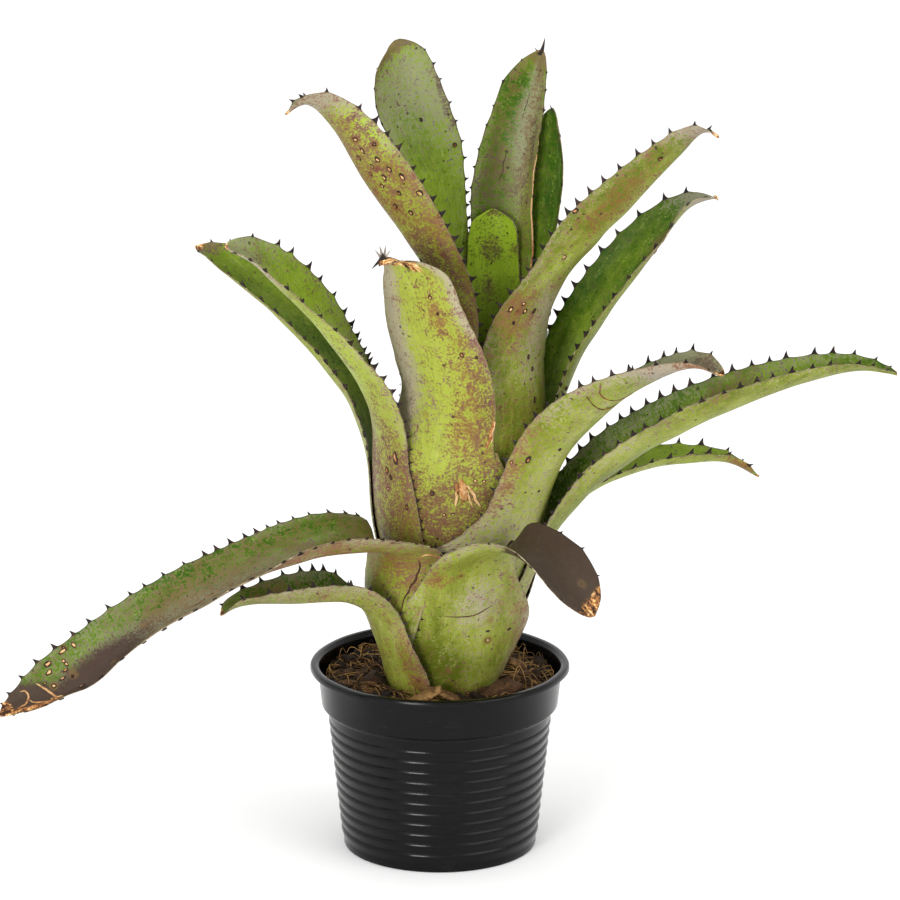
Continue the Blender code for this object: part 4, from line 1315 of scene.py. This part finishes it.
def bed_places(rng, count, crowds):
    """Random places on the ring of mix between the plant and the wall, crowded at some angles."""
    found = []
    while len(found) < count:
        angle = rng.uniform(-math.pi, math.pi)
        radius = math.sqrt(rng.uniform(BED_INNER**2, BED_OUTER**2))
        thick = sum(bell((math.degrees(angle) - at) / reach) for at, reach in crowds)
        if rng.uniform() < 0.45 + 0.55 * min(thick, 1):
            found.append(outward(angle) * radius + (bed_shift(radius), 0, MIX_TOP))
    points = np.array(found)
    points[:, 2] += bed_lumps(points)
    return points


class HOHENBERGIA_OT_husk_chips(Operator):
    """Torn chips of husk lying on the mix"""

    bl_idname = "hohenbergia.husk_chips"
    bl_label = "Husk chips"

    def execute(self, context):
        settings = context.scene.hohenbergia_mix
        rng = np.random.default_rng(CHIP_SEED)
        templates = []
        for kind in range(CHIP_KINDS):
            clear_selection()
            bpy.ops.mesh.primitive_cube_add(size=1)
            edit_all()
            bpy.ops.mesh.subdivide(number_cuts=2, smoothness=0.6)
            bpy.ops.object.mode_set(mode="OBJECT")
            chip = context.object
            points = places(chip.data)
            torn = np.stack([grain(points, 0.45, 7.0 * kind + axis) for axis in range(3)], axis=1)
            points = (points + 0.32 * torn) * (1, rng.uniform(0.3, 0.6), rng.uniform(0.14, 0.3))
            set_places(chip.data, points)
            templates.append(chip)
        chips = []
        for place in bed_places(rng, settings.chip_count, CHIP_CROWDS):
            size = rng.uniform(3.5, 9.5) * MM
            place[:2] *= min(1.0, (BED_OUTER - 0.55 * size) / math.hypot(place[0], place[1]))
            turn = Matrix.Rotation(rng.uniform(0, 2 * math.pi), 4, "Z")
            turn @= Matrix.Rotation(rng.normal(0, 0.45), 4, "X")
            turn @= Matrix.Rotation(rng.normal(0, 0.4), 4, "Y")
            place[2] += rng.uniform(0.2, 2.2) * MM
            at = Matrix.Translation(place) @ turn @ Matrix.Scale(size, 4)
            chip = own_copy(templates[rng.integers(CHIP_KINDS)], at)
            set_mark(chip.data, "shade", rng.uniform(0, 1) ** 2 * 0.8)
            chips.append(chip)
        for number, (x, y, z, long, wide, thick, slope, dryness) in enumerate(FLAKES):
            at = Matrix.Translation(Vector((x, y, z)) * MM)
            at @= Matrix.Rotation(math.radians(slope), 4, "Y")
            at @= Matrix.Diagonal((long, wide / CHIP_WIDTH, thick / CHIP_THICKNESS, 1 / MM)) * MM
            chip = own_copy(templates[number % CHIP_KINDS], at)
            set_mark(chip.data, "shade", dryness)
            chips.append(chip)
        for template in templates:
            remove(template)
        chips = join(chips, "husk_chips")
        chips.data.materials.append(coir("coir_chips", settings))
        shade(chips, 40)
        settle(chips, "husk")
        return {"FINISHED"}


def strand(template, path, radius):
    """A copy of a straight strand, bent along a path."""
    copy = own_copy(template)
    points = places(copy.data)
    share, knots = points[:, 2] * (len(path) - 1), range(len(path))
    centre = between(share, knots, path)
    tangent = between(share, knots, unit(np.gradient(path, axis=0)))
    sideways = unit(np.cross(tangent, (0.31, 0.17, 0.93)))
    upwards = np.cross(sideways, tangent)
    set_places(copy.data, centre + radius * (sideways * points[:, :1] + upwards * points[:, 1:2]))
    return copy


class HOHENBERGIA_OT_husk_fibres(Operator):
    """Loose husk fibres and wiry roots on top of the mix"""

    bl_idname = "hohenbergia.husk_fibres"
    bl_label = "Husk fibres"

    def execute(self, context):
        settings = context.scene.hohenbergia_mix
        rng = np.random.default_rng(STRAND_SEED)
        share = np.linspace(0, 1, STRAND_POINTS)
        template = turned("strand", [(1.0 if 0 < place < 1 else 0.35, place) for place in share], 4)
        strands = []
        for place in bed_places(rng, settings.fibre_count, STRAND_CROWDS):
            reach = rng.uniform(8, 30) * MM
            heading = rng.uniform(0, 2 * math.pi)
            bend = rng.normal(0, 0.65)
            wiry = len(strands) % WIRY_EVERY == 0
            lift = (rng.uniform(8, 16) if wiry else rng.uniform(0.5, 5.0)) * MM
            turn = heading + bend * share
            ways = np.stack((np.cos(turn), np.sin(turn), np.zeros(STRAND_POINTS)), axis=1)
            path = place + np.cumsum(ways, axis=0) * reach / STRAND_POINTS
            path[:, 2] += 1 * MM + lift * np.sin(math.pi * share) * rng.uniform(0.3, 1)
            radii = np.linalg.norm(path[:, :2], axis=1)
            path[:, :2] *= (np.minimum(radii, BED_OUTER) / radii)[:, None]
            fibre = strand(template, path, rng.uniform(0.12, 0.26) * MM)
            set_mark(fibre.data, "shade", rng.uniform(0.1, 1.15))
            strands.append(fibre)
        remove(template)
        fibres = join(strands, "husk_fibres")
        fibres.data.materials.append(coir("coir_fibre", settings))
        shade(fibres, 60)
        settle(fibres, "husk")
        return {"FINISHED"}


# Leaves


def leaf_rows(blade):
    """Distances along a leaf of its rows of vertices, closer together towards the tip."""
    sheath = np.linspace(0, blade.sheath_length, math.ceil(blade.sheath_length / SHEATH_ROW))
    length_free = blade.total - blade.sheath_length
    share = np.linspace(0, 1, math.ceil(length_free / BLADE_ROW))[1:]
    share = TIP_END * (1 - (1 - share) ** TIP_CROWDING)
    return np.concatenate([sheath, blade.run(share)])


def spine_places(blade, settings, rng):
    """Distances along one margin of its spines, with their lengths."""
    run, found = blade.sheath_length - SPINES_FROM, []
    while True:
        spacing = settings.spine_spacing * np.interp(blade.share(run), *SPINE_SPACINGS)
        run += spacing * rng.uniform(0.75, 1.25)
        if blade.total - run < SPINES_UP_TO:
            return found
        size = settings.spine_length * np.interp(blade.share(run), *SPINE_SIZES)
        size *= SMALL_SPINES.get(blade.leaf.name, 1.0)
        found.append((run, size * rng.uniform(0.8, 1.15)))


def scallops(runs, spines):
    """How far a margin reaches out to its spines, in hollow curves between them."""
    places_along, sizes = np.array(spines).T
    reach = SCALLOP_DEPTH * np.interp(runs, places_along, sizes)
    after = np.clip(np.searchsorted(places_along, runs), 1, len(places_along) - 1)
    before = after - 1
    middle = (places_along[before] + places_along[after]) / 2
    half_gap = (places_along[after] - places_along[before]) / 2
    hollow = np.abs((runs - middle) / half_gap)
    inside = np.minimum(hollow, 1) ** SCALLOP_POWER
    past = np.maximum(hollow - 1, 0)
    return reach * inside * bell(past / 0.5)


def leaf_relief(blade, runs, sides, shares):
    """How far the leaf's middle surface waves out of its even curve, in metres."""
    flat = np.stack([sides * PATTERN_HALF_WIDTH, runs, np.full(len(runs), 0.31 * blade.order)], axis=1)
    free = smoothstep(shares / 0.25)
    wave = (0.2 + 0.8 * free) * grain(flat * (1, 0.5, 1), WAVE_LENGTH) * MM
    return wave + RUFFLE_HEIGHT * free * np.abs(sides) ** 3 * grain(flat, RUFFLE_LENGTH, 6.0)


def leaf_marks(blade, sides, shares):
    """The marks on a leaf at some of its points."""
    over, under, stain, scars, grey, dark, dry_from = AGES[blade.leaf.name]
    marks = {
        "edge": np.abs(sides),
        "over": over,
        "under": under,
        "young": 0.0,
        "stain": stain,
        "wine": 0.0,
        "scars": 0.25 * scars,
        "grey": grey * (0.6 + np.abs(sides) ** 3),
        "dark": dark * smoothstep((shares - 0.36) / 0.1),
        "dry": smoothstep((shares - dry_from) / (1.02 - dry_from)) * 1.1,
    }
    for mark, patches in PATCHES.get(blade.leaf.name, {}).items():
        for *patch, strength in patches:
            marks[mark] = marks[mark] + strength * near_patch(shares, sides, *patch)
    marks["stain"] = np.minimum(marks["stain"], mix(STAIN_MOST, 1.5, smoothstep((shares - 0.85) / 0.1)))
    return marks


def leaf_sheet(blade, settings, spines):
    """A grid laid on the leaf's middle surface and thickened."""
    rows = leaf_rows(blade)
    clear_selection()
    bpy.ops.mesh.primitive_grid_add(
        x_subdivisions=COLUMNS, y_subdivisions=len(rows) - 1, size=2, calc_uvs=True
    )
    sheet = bpy.context.object
    flat = places(sheet.data)
    across = flat[:, 0]
    sides = across * (1.25 - 0.25 * across**2)
    runs = np.interp((flat[:, 1] + 1) / 2, np.linspace(0, 1, len(rows)), rows)
    shares = blade.share(runs)
    points, wide, under = blade.lay(runs, sides)
    points += under * leaf_relief(blade, runs, sides, shares)[:, None]
    for margin in (-1, 1):
        on_side = np.clip(sides * margin, 0, 1) ** 8
        points += wide * (margin * on_side * scallops(runs, spines[margin]))[:, None]
    set_places(sheet.data, points)
    for name, values in leaf_marks(blade, sides, shares).items():
        set_mark(sheet.data, name, values)
    seam = sheet.data.uv_layers[0]
    seam.name = "leaf"
    corners = np.zeros(len(sheet.data.loops), int)
    sheet.data.loops.foreach_get("vertex_index", corners)
    width = np.maximum(blade.half_width(runs), 3 * MM)
    uv = np.stack([sides * width, runs + PATTERN_SHIFT * blade.order], axis=1)
    seam.data.foreach_set("uv", uv[corners].ravel())
    thin = sheet.vertex_groups.new(name="thickness")
    full = mix(1.0, MARGIN_THICKNESS, np.abs(sides) ** 3) * mix(1.0, TIP_THICKNESS, smoothstep(shares))
    levels = np.round(full, 2)
    for level in np.unique(levels):
        thin.add(np.nonzero(levels == level)[0].tolist(), float(level), "REPLACE")
    solidify = sheet.modifiers.new("thickness", "SOLIDIFY")
    solidify.thickness = settings.thickness
    solidify.offset = 0.0
    solidify.vertex_group = thin.name
    solidify.material_offset = 1
    solidify.material_offset_rim = 2
    return sheet


def spine_matrix(blade, run, margin, size):
    """Where a spine stands: its own x runs towards the leaf's tip and its y out of the margin."""
    place, tipward, wide, under = blade.stance(run, margin)
    out = wide * margin
    out = unit(out - tipward * (out @ tipward) - under * 0.12)
    ways = tipward * size, out * size, np.cross(tipward, out) * size
    return standing(place + out * SCALLOP_DEPTH * size, *ways)


def bare_thorn(blade, template, along, across, x, y, z, size):
    """A thorn that stands at its own angle."""
    place = blade.stance(blade.run(along), across)[0]
    out = unit(np.array((x, y, z)))
    flat = unit(np.cross(out, (0.0, 1.0, 0.0)))
    ways = flat * 0.4, out, np.cross(flat, out) * 0.5
    return own_copy(template, standing(place, *(way * size * MM for way in ways)))


def spine_template():
    """One spine, 1 long: a cone with a flared foot, flattened, and hooked towards the tip."""
    spine = turned("spine", SPINE_POINTS, 6)
    points = places(spine.data)
    height = points[:, 2]
    shaped = np.stack([
        0.78 * points[:, 0] + 0.3 * height**2,
        1.3 * height - 0.3,
        0.24 * points[:, 1],
    ], axis=1)
    set_places(spine.data, shaped)
    return spine


def raised_wound(blade, template, face, along, across, long, wide, heart):
    """A copy of the wound on its leaf, torn a little, with its heart as pale as it should be."""
    place, tipward, _, under = blade.stance(blade.run(along), across)
    up = under * face
    ways = np.cross(tipward, up) * wide / 2, tipward * long / 2, up * 0.8
    copy = own_copy(template, standing(place + up * 0.4 * MM, *(way * MM for way in ways)))
    points = places(copy.data)
    torn = [grain(points, 0.8, 31 * along + 17 * across + axis) for axis in range(3)]
    set_places(copy.data, points + np.stack(torn, axis=1) * (0.4, 0.4, 0.15))
    radii = np.linalg.norm(points[:, :2], axis=1)
    set_mark(copy.data, "heart", heart * (1 - smoothstep((radii - 0.45) / 0.3)))
    return copy


def raised_tear(blade, template, face, knots, width, heart):
    """A dry ridge laid along a leaf."""
    path = np.array([eased(np.array(knots), share) for share in np.linspace(0, 1, RIDGE_POINTS)])
    points, wide, under = blade.lay(blade.run(path[:, 0]), path[:, 1])
    points += wide * (grain(points, 3.5 * MM) * 1.1 * MM)[:, None] + under * face * 0.42 * MM
    ridge = strand(template, points, width * MM / 2)
    set_mark(ridge.data, "heart", heart + 0.3 * grain(places(ridge.data), 2.5 * MM, 3.0))
    return ridge


class HOHENBERGIA_OT_leaves(Operator):
    """Strap leaves with spined margins, each laid over its solid"""

    bl_idname = "hohenbergia.leaves"
    bl_label = "Leaves"

    def execute(self, context):
        settings = context.scene.hohenbergia_leaf
        underside = leaf_skin("leaf_underside_epidermis", Skin(
            tone="under", dull=settings.olive, bright=settings.lime, pale=colour("#a3aa5c"),
            shade=colour("#3a3e12"), scurf=settings.scurf, bruise=settings.bruise, wine=settings.wine,
            speck=colour("#33231c"), dark=colour("#35281f"), margin=colour("#6d5c48"), roughness=0.34,
        ), settings)
        upper = leaf_skin("leaf_upper_epidermis", Skin(
            tone="over", dull=settings.deep, bright=settings.fresh, pale=colour("#8c9e46"),
            shade=colour("#20330a"), scurf=colour("#837d6e"), bruise=colour("#66512f"),
            wine=colour("#52403f"), speck=colour("#2a2510"), dark=colour("#3d2e28"),
            margin=colour("#2c2019"), roughness=0.3,
        ), settings)
        rim = horn("leaf_margin_horn", colour("#6e6049"), colour("#b3a888"))
        spine, weathered, dish = spine_template(), spine_template(), turned("wound", WOUND_POINTS, 12)
        along = np.linspace(0, 1, RIDGE_POINTS)
        taper = 0.1 + 0.9 * np.sin(math.pi * along) ** 0.7
        ridge = turned("ridge", list(zip(taper, along)), 6)
        cork = wound_cork(settings)
        for template, tissue in (
            (spine, horn("spine_horn", settings.horn, colour("#3d2a20"))),
            (weathered, horn("weathered_horn", colour("#6f675c"), colour("#a39a8c"))),
            (dish, cork),
            (ridge, cork),
        ):
            template.data.materials.append(tissue)
        for order, leaf in enumerate(LEAVES):
            rng = np.random.default_rng(LEAF_SEED + order)
            blade = Blade(leaf, order)
            spines = {margin: spine_places(blade, settings, rng) for margin in (-1, 1)}
            sheet = leaf_sheet(blade, settings, spines)
            for material in (underside, upper, rim):
                sheet.data.materials.append(material)
            apply_modifiers(sheet)
            parts = [sheet]
            for margin, found in spines.items():
                parts += [own_copy(spine, spine_matrix(blade, run, margin, size)) for run, size in found]
            for tissue, *thorn in THORNS.get(leaf.name, ()):
                parts.append(bare_thorn(blade, weathered if tissue == "grey" else spine, *thorn))
            parts += [raised_wound(blade, dish, *wound) for wound in WOUNDS.get(leaf.name, ())]
            parts += [raised_tear(blade, ridge, *tear) for tear in TEARS.get(leaf.name, ())]
            whole = join(parts, leaf.name + "_leaf")
            shade(whole, 50)
            settle(whole, "leaf", "leaf_" + leaf.name)
        for spare in (spine, weathered, dish, ridge):
            remove(spare)
        return {"FINISHED"}


class HOHENBERGIA_OT_stem(Operator):
    """Finish of the short stem that carries the leaves"""

    bl_idname = "hohenbergia.stem"
    bl_label = "Stem finish"

    def execute(self, context):
        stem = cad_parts["short_stem"]
        tissue = stem_tissue()
        if not stem.material_slots:
            stem.data.materials.append(tissue)
        for slot in stem.material_slots:
            slot.material = tissue
        return {"FINISHED"}


# Stage


def aim(obj, azimuth, elevation, distance):
    """Stands a light or a camera so that it looks at the middle of the view."""
    around, up = math.radians(azimuth), math.radians(elevation)
    towards = Vector((
        math.sin(around) * math.cos(up), -math.cos(around) * math.cos(up), math.sin(up)
    ))
    obj.location = VIEW_CENTRE + towards * distance
    obj.rotation_euler = towards.to_track_quat("Z", "Y").to_euler()


class HOHENBERGIA_OT_stage(Operator):
    """White floor, soft studio light and the camera"""

    bl_idname = "hohenbergia.stage"
    bl_label = "Stage"

    def execute(self, context):
        settings = context.scene.hohenbergia_stage
        scene = context.scene
        clear_selection()
        bpy.ops.mesh.primitive_plane_add(size=settings.floor_size)
        floor = context.object
        floor.name = "studio_floor"
        edit_all()
        bpy.ops.mesh.inset(thickness=0.5)
        bpy.ops.object.mode_set(mode="OBJECT")
        board, tree, shader = new_material("white_painted_board")
        place = add(tree, "TexCoord", out="Object")
        cloud = add(tree, "TexNoise", {"Vector": place, "Scale": 1 / 0.4, "Detail": 3.0})
        tint = coats(tree, settings.floor, [(mask(tree, [(cloud, 1.0)], 0.4, 0.7, 0.1), colour("#ffffff"))])
        feed(tree, shader, {"Base Color": tint, "Roughness": 0.9, "Specular IOR Level": 0.1})
        floor.data.materials.append(board)
        world = bpy.data.worlds.new("studio_room")
        world.use_nodes = True
        backdrop = world.node_tree.nodes["Background"]
        backdrop.inputs["Color"].default_value = (1, 1, 1, 1)
        backdrop.inputs["Strength"].default_value = settings.sky_strength
        scene.world = world
        for name, watts, width, height, azimuth, elevation, distance in (
            ("key_light", settings.key_power, 1.3, 1.6, -32, 38, 3.2),
            ("strip_light", settings.strip_power, 0.85, 0.9, -24, 8, 2.9),
            ("fill_light", settings.fill_power, 2.6, 2.0, 55, 25, 3.4),
        ):
            bpy.ops.object.light_add(type="AREA")
            light = context.object
            light.name = name
            light.data.energy = watts
            light.data.shape = "RECTANGLE"
            light.data.size, light.data.size_y = width, height
            aim(light, azimuth, elevation, distance)
        bpy.ops.object.camera_add()
        camera = context.object
        camera.name = "photo_camera"
        aim(camera, 0, VIEW_ELEVATION, VIEW_DISTANCE)
        camera.data.sensor_width = 36
        camera.data.lens = LENS
        camera.data.clip_end = 50
        scene.camera = camera
        scene.view_settings.view_transform = "Standard"
        return {"FINISHED"}


class HOHENBERGIA_PT_panel(Panel):
    """Everything that makes up the potted plant"""

    bl_idname = "HOHENBERGIA_PT_panel"
    bl_label = "Potted hohenbergia"
    bl_space_type = "VIEW_3D"
    bl_region_type = "UI"
    bl_category = "Bromeliad"

    def draw(self, context):
        for name, group in SETTINGS.items():
            box = self.layout.box()
            for field in group.__annotations__:
                box.prop(getattr(context.scene, name), field)
        for operator in PIECES:
            self.layout.operator(operator.bl_idname)


SETTINGS = {
    "hohenbergia_pot": PotSettings,
    "hohenbergia_mix": MixSettings,
    "hohenbergia_leaf": LeafSettings,
    "hohenbergia_stage": StageSettings,
}
PIECES = (
    HOHENBERGIA_OT_pot,
    HOHENBERGIA_OT_husk_bed,
    HOHENBERGIA_OT_husk_chips,
    HOHENBERGIA_OT_husk_fibres,
    HOHENBERGIA_OT_stem,
    HOHENBERGIA_OT_leaves,
    HOHENBERGIA_OT_stage,
)


def register():
    for group in (*SETTINGS.values(), *PIECES, HOHENBERGIA_PT_panel):
        bpy.utils.register_class(group)
    for name, group in SETTINGS.items():
        setattr(bpy.types.Scene, name, PointerProperty(type=group))


def unregister():
    for name in SETTINGS:
        delattr(bpy.types.Scene, name)
    for group in reversed((*SETTINGS.values(), *PIECES, HOHENBERGIA_PT_panel)):
        bpy.utils.unregister_class(group)


def main():
    register()
    for operator in PIECES:
        group, name = operator.bl_idname.split(".")
        getattr(getattr(bpy.ops, group), name)()


if __name__ == "__main__":
    main()
